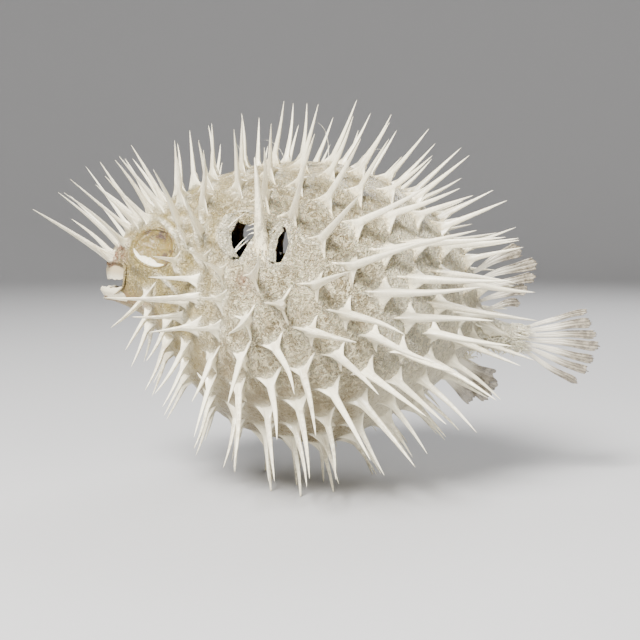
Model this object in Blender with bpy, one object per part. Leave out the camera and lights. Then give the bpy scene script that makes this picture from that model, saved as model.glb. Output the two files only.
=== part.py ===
"""Dried, inflated porcupinefish: a hollow skin that carries its long three-rooted spines.

Metres, +Z up. The head looks toward -X, the fish's left side faces -Y, and the
fish stands upright on the tips of its belly spines. Everything is worked out in
the fish's own frame (s along the axis from the mouth, y across, h up) and then
pitched head-up and set on the ground.
"""
import math

import bmesh
import bpy
from mathutils import Vector

MM = 0.001

# Body -----------------------------------------------------------------------
PITCH_DEG = 7.7          # the body axis rises toward the head by this much
GROUND_MM = 60.6         # height of the mouth's middle above the ground
CENTRE_MM = 65.6         # from the mouth back to the middle of the whole length
ASIDE_MM = 0.1           # the spines reach this much further to the right than to the left
WALL_MM = 1.4            # thickness of the skin wall
GAP_MM = 0.3             # thin gap between neighbouring pieces

# Sections of the body: station s, top, bottom, half width, height of the widest point.
SECTIONS_MM = (
    (0.0, 7.8, -5.4, 4.5, 1.2),
    (3.0, 14.4, -6.3, 6.3, 2.6),
    (7.5, 20.1, -7.5, 9.4, 5.4),
    (13.5, 24.9, -10.2, 15.6, 7.2),
    (21.0, 30.0, -17.1, 22.5, 6.0),
    (30.0, 36.3, -27.6, 30.0, 3.6),
    (40.5, 40.8, -35.7, 36.3, 1.2),
    (51.0, 43.2, -39.3, 40.2, 0.0),
    (61.5, 44.4, -40.2, 42.0, 0.0),
    (70.5, 43.5, -39.6, 41.7, 0.0),
    (79.5, 41.1, -35.4, 39.3, 0.6),
    (88.5, 36.9, -29.4, 34.5, 1.2),
    (96.0, 31.5, -24.3, 28.2, 1.8),
    (102.0, 26.4, -18.0, 21.6, 2.1),
    (106.5, 21.0, -12.3, 15.9, 2.4),
    (110.4, 13.8, -6.9, 9.6, 2.1),
    (113.4, 6.6, -4.2, 3.9, 0.9),
    (118.5, 4.2, -3.6, 2.4, 0.3),
    (126.0, 3.3, -3.9, 1.8, -0.3),
)

# Seams between the pieces of skin, all running midway between rows of spines.
HEAD_FRONT_MM = 0.4
HEAD_SEAM_MM = 32.5
BELLY_MIDDLE_MM = 66.1
RUMP_SEAM_MM = 99.7
STALK_SEAM_MM = 111.0
STALK_END_MM = 126.0
BACK_SEAM_DEG = 39.2     # measured round the body from the middle of the back
BELLY_SEAM_DEG = 122.1

# Mesh steps of the skin.
STEP_MM = 6.8
STEP_DEG = 20.0

# Openings, each given by its middle and half sizes along and around the body.
MOUTH_DEPTH_MM = 6.4
MOUTH_TOP_MM = 6.3
MOUTH_BOTTOM_MM = -4.5
EYE_S_MM = 14.6
EYE_DEG = 72.0
EYE_RADIUS_MM = 5.7
EYE_DISH_MM = 1.6        # how deep the rim of the dried eye lies in its socket
EYE_SAG_MM = 0.9         # its middle lies deeper by this much
EYE_SHELL_MM = 0.8       # thickness of the dried eye
EYE_RINGS = 3
EYE_SIDES = 12
GILL_S_MM = 40.0
GILL_DEG = 61.5
GILL_LENGTH_MM = 4.2
GILL_HEIGHT_MM = 6.2
FIN_HOLE_S_MM = 51.2
FIN_HOLE_DEG = 65.0
FIN_HOLE_LENGTH_MM = 2.2
FIN_HOLE_HEIGHT_MM = 5.2
CUT_ABOVE_MM = 4.0       # the cutters of the openings reach this far out of the skin
CUT_BELOW_MM = 6.0       # and this far into the body

# Beaks: half width at the root, then height, reach and thickness of each band,
# from the root of the plate to its cutting edge.
BEAK_HALF_WIDTH_MM = 5.9
BEAK_SIDES = 8
UPPER_BEAK_FRONT_MM = -0.8
UPPER_BEAK_BANDS = ((5.9, 1.0, 1.8), (3.2, 1.03, 1.6), (0.7, 0.98, 0.7))
LOWER_BEAK_FRONT_MM = -1.2
LOWER_BEAK_BANDS = ((-4.1, 0.94, 1.8), (-1.8, 1.0, 1.6), (0.1, 1.0, 0.7))

# Spines ---------------------------------------------------------------------
RING_FIRST_MM = 28.3
RING_PITCH_MM = 8.4
RING_COUNT = 9
RING_SPINES = 22
RING_DROOP_DEG = 4.0     # the rows crowd a little toward the belly
RIGHT_SHIFT_MM = 3.4     # right of the middle of the back they stand this much further back
RIGHT_SHIFT_DEG = (0.0, 8.0, 34.0, 56.0)       # it comes in and fades out between these angles
RIGHT_SHIFT_S_MM = (28.3, 36.7, 80.0, 95.0)    # and stations
EYE_CLEAR_MM = 1.2       # no spine of a row grows this near to an eye, a gill opening or a fin base
GILL_CLEAR_MM = 1.6
FIN_HOLE_CLEAR_MM = 1.2
# Rows on the head: station, then the angles on each side of the middle of the back.
HEAD_ROWS = (
    (1.4, (54,)),
    (2.6, (32,)),
    (4.8, (11, 50)),
    (7.6, (0, 29)),
    (11.2, (15, 38)),
    (14.6, (0, 25)),
    (19.2, (11,)),
    (21.8, (34, 55, 126, 147, 169)),
    (23.4, (0,)),
    (15.0, (116, 140, 165)),
)
# Rows on the rump.
RUMP_ROWS = (
    (103.9, (11, 34, 57, 80, 103, 126, 149)),
    (108.7, (40, 75, 110)),
)
STALK_ROW_MM = 113.2
STALK_ROW_DEG = 78.0
STALK_SPINE_MM = 14.0
# The cheeks have smaller spines of their own, which no row passes through:
# station, angle, length, lean toward the tail and lean down the side.
CHEEK_S_MM = (20.0, 40.0)
CHEEK_DEG = (65.0, 113.0)
CHEEK_SPINES = (
    (21.6, 80.0, 11.0, 0.30, 0.00),
    (24.6, 67.0, 12.0, 0.45, -0.10),
    (25.6, 111.0, 14.5, -0.95, 0.47),
    (26.6, 100.5, 14.5, -1.00, 0.39),
    (28.4, 86.0, 12.0, -1.00, 0.42),
    (29.6, 94.6, 27.0, -0.95, 0.38),
    (30.6, 75.0, 12.0, 0.35, 0.00),
    (30.8, 108.5, 12.5, -0.85, 0.55),
    (36.0, 79.0, 12.0, 0.20, 0.00),
    (36.7, 90.0, 10.0, -0.10, 0.10),
    (36.7, 103.5, 12.5, -0.45, -0.15),
)
# One spine between the left gill opening and the fin hole stands upright.
UPRIGHT_SPINE = (46.4, 67.0, 27.0)
UPRIGHT_LEAN = 1.9
UPRIGHT_FORWARD = 0.15
# Spine lengths along the back, the flank and the belly: stations and lengths there.
BACK_LENGTHS_MM = (
    (0.0, 27.0), (7.6, 19.0), (11.2, 18.0), (14.6, 20.5), (20.0, 17.0), (28.0, 15.0), (40.0, 17.5),
    (95.0, 19.5), (112.0, 16.0),
)
FLANK_LENGTHS_MM = ((0.0, 32.0), (20.0, 24.0), (45.0, 28.5), (75.0, 30.0), (95.0, 23.0), (112.0, 18.0))
BELLY_LENGTHS_MM = ((0.0, 12.0), (20.0, 14.0), (75.0, 13.5), (95.0, 14.0), (112.0, 12.0))
BACK_FLANK_DEG = (28.0, 62.0)
FLANK_BELLY_DEG = (112.0, 158.0)
THROAT_SHORTER = 0.22    # those below the cheeks are shorter by this share
THROAT_S_MM = (33.0, 42.0)                     # which fades out between these stations
THROAT_DEG = (96.0, 112.0, 130.0, 150.0)
# Lean toward the tail, as the tangent of the angle to the normal: stations and leans.
BACK_LEANS = (
    (0.0, 0.20), (5.0, 0.05), (14.0, -0.05), (18.0, 0.25), (24.0, 0.45), (45.0, 0.20), (75.0, 0.28),
    (112.0, 0.30),
)
FLANK_LEANS = ((0.0, 0.06), (20.0, 0.55), (45.0, 0.42), (75.0, 0.18), (112.0, 0.15))
BELLY_LEANS = ((0.0, 0.40), (20.0, 0.60), (45.0, 0.38), (75.0, 0.15), (112.0, 0.15))
UPPER_REAR_LEAN = 0.60   # those high on the rear flank lean this much more
UPPER_REAR_S_MM = (55.0, 80.0)
UPPER_REAR_DEG = (30.0, 55.0, 78.0, 98.0)
SCATTER = 0.14           # unevenness of the lean
SHAFT_RADIUS_MM = 1.35
COLLAR_MM = 2.8          # height at which the three roots have become the shaft
ROOT_DEPTH_MM = 0.8
ROOT_FORWARD_MM = 3.2
ROOT_SIDE_MM = 2.2
ROOT_SIDE_DEG = 112.0
STALK_LEAN = 2.2         # the two spines on the stalk lie almost along it
LENGTH_SCATTER = 0.08
FOOT_REACH_MM = 3.0      # tips this close to the ground are made to reach it
FOOT_CUT_MM = 2.0        # and are blunted by this much

# Fins, in the plane of symmetry: stations and heights of the tips of the rays.
DORSAL_ROOT_MM = (107.6, 113.6)
DORSAL_TIPS_MM = ((121.5, 26.4), (126.8, 22.6), (127.0, 18.4), (125.4, 14.6), (123.6, 10.6))
ANAL_ROOT_MM = (108.4, 103.6)
ANAL_TIPS_MM = ((119.2, -13.4), (120.4, -16.2), (119.0, -19.0), (114.5, -20.6))
CAUDAL_ROOT_MM = 126.3
CAUDAL_ROOT_HALF_MM = 3.4
CAUDAL_TIPS_MM = (
    (143.9, 10.4), (145.8, 7.3), (147.8, 3.8), (149.2, 0.4), (148.2, -4.0), (147.0, -7.6), (144.2, -11.4),
)
FIN_THICKNESS_MM = 0.8
RAY_TIP_HALF_MM = 1.0
RAY_SPLIT = 0.3          # how far out from the root the rays part
RAY_SHOULDER = 0.86      # how far out a ray starts to taper
RAY_TAPER = 0.7          # how much of its width is left at its tip
FIN_CLEARANCE_MM = 0.5   # from the skin to the roots of the upper and lower fins

# Colours --------------------------------------------------------------------
SKIN_COLOUR = (0.78, 0.74, 0.63, 1.0)
FIN_COLOUR = (0.55, 0.50, 0.40, 1.0)
BEAK_COLOUR = (0.60, 0.55, 0.45, 1.0)
EYE_COLOUR = (0.50, 0.42, 0.26, 1.0)


def clear_scene():
    for item in list(bpy.data.objects):
        bpy.data.objects.remove(item, do_unlink=True)


def make_material(name, colour, roughness):
    material = bpy.data.materials.new(name)
    material.use_nodes = True
    shader = material.node_tree.nodes["Principled BSDF"]
    shader.inputs["Base Color"].default_value = colour
    shader.inputs["Roughness"].default_value = roughness
    shader.inputs["Metallic"].default_value = 0.0
    return material


# Form of the body -------------------------------------------------------------
def smooth_curve(xs, ys):
    """Monotone cubic through the points, flat beyond neither end."""
    steps = [b - a for a, b in zip(xs, xs[1:])]
    slopes = [(b - a) / h for a, b, h in zip(ys, ys[1:], steps)]
    tangents = [slopes[0]]
    for before, after, h0, h1 in zip(slopes, slopes[1:], steps, steps[1:]):
        if before * after <= 0.0:
            tangents.append(0.0)
            continue
        w0 = 2.0 * h1 + h0
        w1 = h1 + 2.0 * h0
        tangents.append((w0 + w1) / (w0 / before + w1 / after))
    tangents.append(slopes[-1])

    def value(x):
        x = min(max(x, xs[0]), xs[-1])
        i = 0
        while i < len(steps) - 1 and x > xs[i + 1]:
            i += 1
        h = steps[i]
        t = (x - xs[i]) / h
        return (
            (1 + 2 * t) * (1 - t) ** 2 * ys[i]
            + t * (1 - t) ** 2 * h * tangents[i]
            + t * t * (3 - 2 * t) * ys[i + 1]
            + t * t * (t - 1) * h * tangents[i + 1]
        )

    return value


STATIONS = [row[0] for row in SECTIONS_MM]
TOP = smooth_curve(STATIONS, [row[1] for row in SECTIONS_MM])
BOTTOM = smooth_curve(STATIONS, [row[2] for row in SECTIONS_MM])
HALF_WIDTH = smooth_curve(STATIONS, [row[3] for row in SECTIONS_MM])
WIDEST = smooth_curve(STATIONS, [row[4] for row in SECTIONS_MM])


def skin_point(s, angle):
    """Point of the outer skin; angle in degrees from the middle of the back, + to the left."""
    turn = math.radians(angle)
    rise = TOP(s) - WIDEST(s) if math.cos(turn) > 0.0 else WIDEST(s) - BOTTOM(s)
    return Vector((s, -HALF_WIDTH(s) * math.sin(turn), WIDEST(s) + rise * math.cos(turn)))


def skin_axes(s, angle):
    """Outward normal, tailward tangent and the direction round the body, down the left side."""
    ds = 0.05
    da = 0.5
    tail = (skin_point(s + ds, angle) - skin_point(s - ds, angle)).normalized()
    round_body = (skin_point(s, angle + da) - skin_point(s, angle - da)).normalized()
    outward = tail.cross(round_body).normalized()
    if outward.dot(skin_point(s, angle) - Vector((s, 0.0, WIDEST(s)))) < 0.0:
        outward = -outward
    return outward, tail, round_body


def offset_point(s, angle, height):
    return skin_point(s, angle) + skin_axes(s, angle)[0] * height


def to_world(point):
    """From the fish's own frame in millimetres to the world in metres."""
    pitch = math.radians(PITCH_DEG)
    x = point[0] * math.cos(pitch) + point[2] * math.sin(pitch)
    z = -point[0] * math.sin(pitch) + point[2] * math.cos(pitch)
    return Vector((x - CENTRE_MM, point[1] - ASIDE_MM, z + GROUND_MM)) * MM


def blend(x, start, end):
    t = min(max((x - start) / (end - start), 0.0), 1.0)
    return t * t * (3.0 - 2.0 * t)


def plateau(x, start, full, fading, end):
    """Rises from 0 to 1, stays there and falls back to 0."""
    return blend(x, start, full) * (1.0 - blend(x, fading, end))


def scatter(number, channel):
    """A repeatable uneven value between -1 and 1."""
    wave = math.sin(number * 12.9898 + channel * 78.233) * 43758.5453
    return 2.0 * (wave - math.floor(wave)) - 1.0


# Meshes -----------------------------------------------------------------------
def mesh_object(name, points, faces, material):
    """An object from points in the fish's frame; every face is turned to look outward."""
    mesh = bpy.data.meshes.new(name)
    mesh.from_pydata([to_world(p) for p in points], [], faces)
    shell = bmesh.new()
    shell.from_mesh(mesh)
    bmesh.ops.recalc_face_normals(shell, faces=shell.faces)
    bmesh.ops.triangulate(shell, faces=shell.faces)
    shell.to_mesh(mesh)
    shell.free()
    item = bpy.data.objects.new(name, mesh)
    bpy.context.scene.collection.objects.link(item)
    if material:
        mesh.materials.append(material)
    return item


def even_steps(start, end, step):
    count = max(1, round((end - start) / step))
    return [start + (end - start) * i / count for i in range(count + 1)]


def skin_hoop(name, start, end, material):
    """A full ring of skin, open at both ends."""
    stations = even_steps(start, end, STEP_MM)
    turns = even_steps(0.0, 360.0, STEP_DEG)[:-1]
    points = [skin_point(s, a) for s in stations for a in turns]
    points += [offset_point(s, a, -WALL_MM) for s in stations for a in turns]
    around = len(turns)
    layer = around * len(stations)
    faces = []
    for i in range(len(stations) - 1):
        for j in range(around):
            k = (j + 1) % around
            quad = (i * around + j, i * around + k, (i + 1) * around + k, (i + 1) * around + j)
            faces.append(quad)
            faces.append(tuple(layer + v for v in reversed(quad)))
    for i in (0, len(stations) - 1):
        for j in range(around):
            k = (j + 1) % around
            faces.append((i * around + j, i * around + k, layer + i * around + k, layer + i * around + j))
    return mesh_object(name, points, faces, material)


def seam_angle(s, angle, side):
    """The angle at which half a gap is left between the edge and the seam."""
    width = (skin_point(s, angle + 1.0) - skin_point(s, angle)).length
    return angle + side * 0.5 * GAP_MM / width


def skin_panel(name, start, end, first, last, material):
    """A panel of skin between two stations and two angles, with its four edges closed."""
    stations = even_steps(start + 0.5 * GAP_MM, end - 0.5 * GAP_MM, STEP_MM)
    columns = max(2, round((last - first) / STEP_DEG))
    points = []
    for height in (0.0, -WALL_MM):
        for s in stations:
            low = seam_angle(s, first, 1.0)
            high = seam_angle(s, last, -1.0)
            for j in range(columns + 1):
                points.append(offset_point(s, low + (high - low) * j / columns, height))
    width = columns + 1
    layer = width * len(stations)
    faces = []
    for i in range(len(stations) - 1):
        for j in range(columns):
            quad = (i * width + j, i * width + j + 1, (i + 1) * width + j + 1, (i + 1) * width + j)
            faces.append(quad)
            faces.append(tuple(layer + v for v in reversed(quad)))
        for j in (0, columns):
            edge = (i * width + j, (i + 1) * width + j)
            faces.append((edge[0], edge[1], layer + edge[1], layer + edge[0]))
    for i in (0, len(stations) - 1):
        for j in range(columns):
            edge = (i * width + j, i * width + j + 1)
            faces.append((edge[0], edge[1], layer + edge[1], layer + edge[0]))
    return mesh_object(name, points, faces, material)


# Spines -----------------------------------------------------------------------
def interpolate(profile, s):
    """The value at a station, on straight lines between the profile's own."""
    for (s0, v0), (s1, v1) in zip(profile, profile[1:]):
        if s <= s1:
            return v0 + (v1 - v0) * (s - s0) / (s1 - s0)
    return profile[-1][1]


def over_body(s, angle, back, flank, belly):
    """A value that runs from the back over the flank to the belly, and along the body."""
    side = abs(angle)
    lines = [interpolate(profile, s) for profile in (back, flank, belly)]
    upper = lines[0] + (lines[1] - lines[0]) * blend(side, *BACK_FLANK_DEG)
    return upper + (lines[2] - upper) * blend(side, *FLANK_BELLY_DEG)


def spine_length(s, angle):
    throat = (1.0 - blend(s, *THROAT_S_MM)) * plateau(abs(angle), *THROAT_DEG)
    length = over_body(s, angle, BACK_LENGTHS_MM, FLANK_LENGTHS_MM, BELLY_LENGTHS_MM)
    return length * (1.0 - THROAT_SHORTER * throat)


def spine_lean(s, angle):
    """How far a spine leans toward the tail, as the tangent of its angle to the normal."""
    upper_rear = blend(s, *UPPER_REAR_S_MM) * plateau(abs(angle), *UPPER_REAR_DEG)
    return over_body(s, angle, BACK_LEANS, FLANK_LEANS, BELLY_LEANS) + UPPER_REAR_LEAN * upper_rear


def blocked(s, angle):
    """True where an opening, or a spine of the cheek's own, takes the place of one of a row."""
    if CHEEK_S_MM[0] < s < CHEEK_S_MM[1] and CHEEK_DEG[0] < abs(angle) < CHEEK_DEG[1]:
        return True
    spot = skin_point(s, abs(angle))
    holes = (
        (EYE_S_MM, EYE_DEG, EYE_RADIUS_MM + EYE_CLEAR_MM),
        (GILL_S_MM, GILL_DEG, GILL_HEIGHT_MM + GILL_CLEAR_MM),
        (FIN_HOLE_S_MM, FIN_HOLE_DEG, FIN_HOLE_HEIGHT_MM + FIN_HOLE_CLEAR_MM),
    )
    return any((spot - skin_point(hs, ha)).length < reach for hs, ha, reach in holes)


def mirrored(rows):
    """Each angle of a row on both sides, and the middle ones once."""
    for s, angles in rows:
        for angle in angles:
            yield s, float(angle)
            if 0 < angle < 180:
                yield s, -float(angle)


def right_shift(s, angle):
    """How far back a spine stands because it is on the right side of the back."""
    return RIGHT_SHIFT_MM * plateau(-angle, *RIGHT_SHIFT_DEG) * plateau(s, *RIGHT_SHIFT_S_MM)


def spine_sites():
    """Station, angle and full length of every spine, in a fixed order."""
    sites = list(mirrored(HEAD_ROWS)) + list(mirrored(RUMP_ROWS))
    for ring in range(RING_COUNT):
        s = RING_FIRST_MM + ring * RING_PITCH_MM
        for i in range(RING_SPINES):
            turn = -180.0 + (i + 0.5 * (ring % 2 == 0)) * 360.0 / RING_SPINES
            sites.append((s, turn + RING_DROOP_DEG * math.sin(math.radians(turn))))
    sites = [(s + right_shift(s, a), a, spine_length(s, a)) for s, a in sites if not blocked(s, a)]
    sites += [(STALK_ROW_MM, side * STALK_ROW_DEG, STALK_SPINE_MM) for side in (1.0, -1.0)]
    sites += [(row[0], side * row[1], row[2]) for row in CHEEK_SPINES for side in (1.0, -1.0)]
    return sites + [UPRIGHT_SPINE]


def spine_direction(number, s, angle):
    outward, tail, round_body = skin_axes(s, angle)
    if (s, angle) == UPRIGHT_SPINE[:2]:
        return (outward - round_body * UPRIGHT_LEAN - tail * UPRIGHT_FORWARD).normalized()
    lean = STALK_LEAN if s > STALK_SEAM_MM else spine_lean(s, angle)
    droop = 0.0
    for row in CHEEK_SPINES:
        if (s, abs(angle)) == row[:2]:
            lean = row[3]
            droop = row[4] if angle > 0.0 else -row[4]
    lean += SCATTER * scatter(number, 1)
    droop += SCATTER * scatter(number, 2)
    return (outward + tail * lean + round_body * droop).normalized()


def spine_tip(number, s, angle, length, direction):
    """The tip, which for the feet lies just below the ground that then cuts it off."""
    foot = skin_point(s, angle)
    length *= 1.0 + LENGTH_SCATTER * scatter(number, 3)
    height = to_world(foot + direction * length).z / MM
    if abs(height) < FOOT_REACH_MM:
        fall = (to_world(foot).z - to_world(foot + direction).z) / MM
        length += (height + FOOT_CUT_MM) / fall
    return foot + direction * length


def add_spine(points, faces, number, s, angle, length):
    """Three roots in the skin, one forward and two sideways, that run into one shaft."""
    outward, tail, round_body = skin_axes(s, angle)
    direction = spine_direction(number, s, angle)
    foot = skin_point(s, angle) - outward * ROOT_DEPTH_MM
    collar = skin_point(s, angle) + direction * COLLAR_MM
    across = direction.cross(round_body).normalized()
    beside = across.cross(direction).normalized()
    if across.dot(tail) < 0.0:
        across = -across
    base = len(points)
    for side, reach in ((0, ROOT_FORWARD_MM), (1, ROOT_SIDE_MM), (-1, ROOT_SIDE_MM)):
        heading = math.radians(180.0 + ROOT_SIDE_DEG * side)
        points.append(foot + (tail * math.cos(heading) + round_body * math.sin(heading)) * reach)
    for side in (0, 1, -1):
        heading = math.radians(180.0 + 120.0 * side)
        points.append(collar + (across * math.cos(heading) + beside * math.sin(heading)) * SHAFT_RADIUS_MM)
    points.append(spine_tip(number, s, angle, length, direction))
    shaft = base + 3
    tip = base + 6
    faces.append((base + 2, base + 1, base))
    for root in range(3):
        after = (root + 1) % 3
        faces.append((base + root, base + after, shaft + after, shaft + root))
        faces.append((shaft + root, shaft + after, tip))


def region_of(s, angle):
    if s < HEAD_SEAM_MM:
        return "head"
    if s > STALK_SEAM_MM:
        return "tail_stalk"
    if s > RUMP_SEAM_MM:
        return "rump"
    if abs(angle) < BACK_SEAM_DEG:
        return "back"
    if abs(angle) > BELLY_SEAM_DEG:
        return "belly_front" if s < BELLY_MIDDLE_MM else "belly_rear"
    return "flank_left" if angle > 0.0 else "flank_right"


def grow_spines(pieces):
    """Join each spine to the piece of skin that it stands on."""
    grown = {name: ([], []) for name in pieces}
    for number, (s, angle, length) in enumerate(spine_sites()):
        points, faces = grown[region_of(s, angle)]
        add_spine(points, faces, number, s, angle, length)
    for name, (points, faces) in grown.items():
        tool = mesh_object(name + "_spines", points, faces, None)
        apply_boolean(pieces[name], tool, "UNION")


# Cutting ----------------------------------------------------------------------
def apply_boolean(item, tool, operation):
    """Cut or join at once and drop the tool."""
    modifier = item.modifiers.new("Boolean", "BOOLEAN")
    modifier.operation = operation
    modifier.solver = "EXACT"
    modifier.use_self = True
    modifier.object = tool
    bpy.context.view_layer.update()
    depsgraph = bpy.context.evaluated_depsgraph_get()
    mesh = bpy.data.meshes.new_from_object(item.evaluated_get(depsgraph))
    item.modifiers.clear()
    old = item.data
    item.data = mesh
    mesh.name = item.name
    bpy.data.meshes.remove(old)
    bpy.data.objects.remove(tool, do_unlink=True)


def plug(name, s, angle, outline):
    """A straight plug through the skin, with its outline in the tangent plane."""
    outward, tail, round_body = skin_axes(s, angle)
    middle = skin_point(s, angle)
    points = []
    for height in (CUT_ABOVE_MM, -CUT_BELOW_MM):
        for along, around in outline:
            points.append(middle + tail * along + round_body * around + outward * height)
    count = len(outline)
    faces = [tuple(range(count)), tuple(reversed(range(count, 2 * count)))]
    for i in range(count):
        j = (i + 1) % count
        faces.append((i, j, count + j, count + i))
    return mesh_object(name, points, faces, None)


def oval(half_along, half_around, count, pinch=0.0, skew=0.0):
    """An egg-shaped outline; pinch narrows its lower end and skew slants it."""
    outline = []
    for i in range(count):
        turn = 2.0 * math.pi * i / count
        around = half_around * math.sin(turn)
        along = half_along * math.cos(turn) * (1.0 - pinch * math.sin(turn))
        outline.append((along + skew * around, around))
    return outline


def block(name, low, high):
    points = [(x, y, z) for x in (low[0], high[0]) for y in (low[1], high[1]) for z in (low[2], high[2])]
    faces = [(0, 1, 3, 2), (4, 6, 7, 5), (0, 4, 5, 1), (2, 3, 7, 6), (0, 2, 6, 4), (1, 5, 7, 3)]
    return mesh_object(name, points, faces, None)


def level_feet(item):
    """Cut the lowest spine tips off at ground level, which is the plane Z = 0."""
    mesh = bmesh.new()
    mesh.from_mesh(item.data)
    geometry = mesh.verts[:] + mesh.edges[:] + mesh.faces[:]
    cut = bmesh.ops.bisect_plane(
        mesh, geom=geometry, plane_co=(0, 0, 0), plane_no=(0, 0, -1), clear_outer=True, dist=1e-7
    )
    edges = [e for e in cut["geom_cut"] if isinstance(e, bmesh.types.BMEdge)]
    if edges:
        bmesh.ops.edgenet_fill(mesh, edges=edges)
        bmesh.ops.triangulate(mesh, faces=mesh.faces)
        bmesh.ops.recalc_face_normals(mesh, faces=mesh.faces)
    mesh.to_mesh(item.data)
    mesh.free()


# Pieces -----------------------------------------------------------------------
def make_skin(material):
    pieces = {
        "head": skin_hoop("head", HEAD_FRONT_MM, HEAD_SEAM_MM - 0.5 * GAP_MM, material),
        "rump": skin_hoop("rump", RUMP_SEAM_MM + 0.5 * GAP_MM, STALK_SEAM_MM, material),
        "tail_stalk": make_stalk(material),
    }
    panels = (
        ("back", HEAD_SEAM_MM, RUMP_SEAM_MM, -BACK_SEAM_DEG, BACK_SEAM_DEG),
        ("flank_left", HEAD_SEAM_MM, RUMP_SEAM_MM, BACK_SEAM_DEG, BELLY_SEAM_DEG),
        ("belly_front", HEAD_SEAM_MM, BELLY_MIDDLE_MM, BELLY_SEAM_DEG, 360.0 - BELLY_SEAM_DEG),
        ("belly_rear", BELLY_MIDDLE_MM, RUMP_SEAM_MM, BELLY_SEAM_DEG, 360.0 - BELLY_SEAM_DEG),
        ("flank_right", HEAD_SEAM_MM, RUMP_SEAM_MM, -BELLY_SEAM_DEG, -BACK_SEAM_DEG),
    )
    for name, *limits in panels:
        pieces[name] = skin_panel(name, *limits, material)
    grow_spines(pieces)
    return pieces


def open_skin(pieces):
    """Cut the mouth, the eye sockets, the gill openings and the empty fin bases."""
    mouth = block(
        "mouth_cut", (-5.0, -20.0, MOUTH_BOTTOM_MM), (MOUTH_DEPTH_MM, 20.0, MOUTH_TOP_MM)
    )
    apply_boolean(pieces["head"], mouth, "DIFFERENCE")
    for side, flank in ((1.0, "flank_left"), (-1.0, "flank_right")):
        socket = plug("socket_cut", EYE_S_MM, side * EYE_DEG, oval(EYE_RADIUS_MM, EYE_RADIUS_MM, 20))
        apply_boolean(pieces["head"], socket, "DIFFERENCE")
        gill_outline = oval(GILL_LENGTH_MM, GILL_HEIGHT_MM, 14, 0.45 * side, -0.12 * side)
        gill = plug("gill_cut", GILL_S_MM, side * GILL_DEG, gill_outline)
        apply_boolean(pieces[flank], gill, "DIFFERENCE")
        fin_outline = oval(FIN_HOLE_LENGTH_MM, FIN_HOLE_HEIGHT_MM, 12, 0.0, -0.1 * side)
        fin_hole = plug("fin_cut", FIN_HOLE_S_MM, side * FIN_HOLE_DEG, fin_outline)
        apply_boolean(pieces[flank], fin_hole, "DIFFERENCE")


def make_stalk(material):
    """The solid, tapered stalk of the tail."""
    stations = even_steps(STALK_SEAM_MM + GAP_MM, STALK_END_MM, 2.5)
    turns = even_steps(0.0, 360.0, 30.0)[:-1]
    points = [skin_point(s, a) for s in stations for a in turns]
    around = len(turns)
    faces = [tuple(range(around)), tuple(range(len(points) - around, len(points)))]
    for i in range(len(stations) - 1):
        for j in range(around):
            k = (j + 1) % around
            faces.append((i * around + j, i * around + k, (i + 1) * around + k, (i + 1) * around + j))
    return mesh_object("tail_stalk", points, faces, material)


def make_eye(name, side, material):
    """The dried eye: a shallow dish that lies below the rim of its socket."""
    outward, tail, round_body = skin_axes(EYE_S_MM, side * EYE_DEG)
    middle = skin_point(EYE_S_MM, side * EYE_DEG)
    radius = EYE_RADIUS_MM - GAP_MM
    rings = EYE_RINGS
    around = EYE_SIDES
    points = []
    for below in (0.0, EYE_SHELL_MM):
        points.append(middle - outward * (EYE_DISH_MM + EYE_SAG_MM + below))
        for ring in range(1, rings + 1):
            share = ring / rings
            depth = EYE_DISH_MM + EYE_SAG_MM * (1.0 - share * share) + below
            for j in range(around):
                turn = 2.0 * math.pi * j / around
                spot = middle + (tail * math.cos(turn) + round_body * math.sin(turn)) * radius * share
                points.append(spot - outward * depth)
    layer = 1 + rings * around
    faces = []
    for j in range(around):
        k = (j + 1) % around
        for start in (0, layer):
            faces.append((start, start + 1 + j, start + 1 + k))
            for ring in range(rings - 1):
                inner = start + 1 + ring * around
                faces.append((inner + j, inner + k, inner + around + k, inner + around + j))
        rim = 1 + (rings - 1) * around
        faces.append((rim + j, rim + k, layer + rim + k, layer + rim + j))
    return mesh_object(name, points, faces, material)


def make_beak(name, bands, front, material):
    """A beak plate: bands of a half oval, from its root level to its cutting edge."""
    around = BEAK_SIDES
    back = MOUTH_DEPTH_MM - GAP_MM
    points = []
    for height, reach, thickness in bands:
        for inset in (0.0, thickness):
            for j in range(around + 1):
                turn = math.pi * (j / around - 0.5)
                along = back - (back - front - inset) * math.cos(turn) * reach
                points.append((along, (BEAK_HALF_WIDTH_MM - inset) * math.sin(turn) * reach, height))
    row = around + 1
    band = 2 * row
    faces = []
    for i in range(len(bands) - 1):
        for j in range(around):
            outer = i * band + j
            inner = outer + row
            faces.append((outer, outer + 1, outer + band + 1, outer + band))
            faces.append((inner, inner + band, inner + band + 1, inner + 1))
        for j in (0, around):
            outer = i * band + j
            faces.append((outer, outer + row, outer + row + band, outer + band))
    for i in (0, len(bands) - 1):
        for j in range(around):
            outer = i * band + j
            faces.append((outer, outer + 1, outer + row + 1, outer + row))
    return mesh_object(name, points, faces, material)


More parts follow.
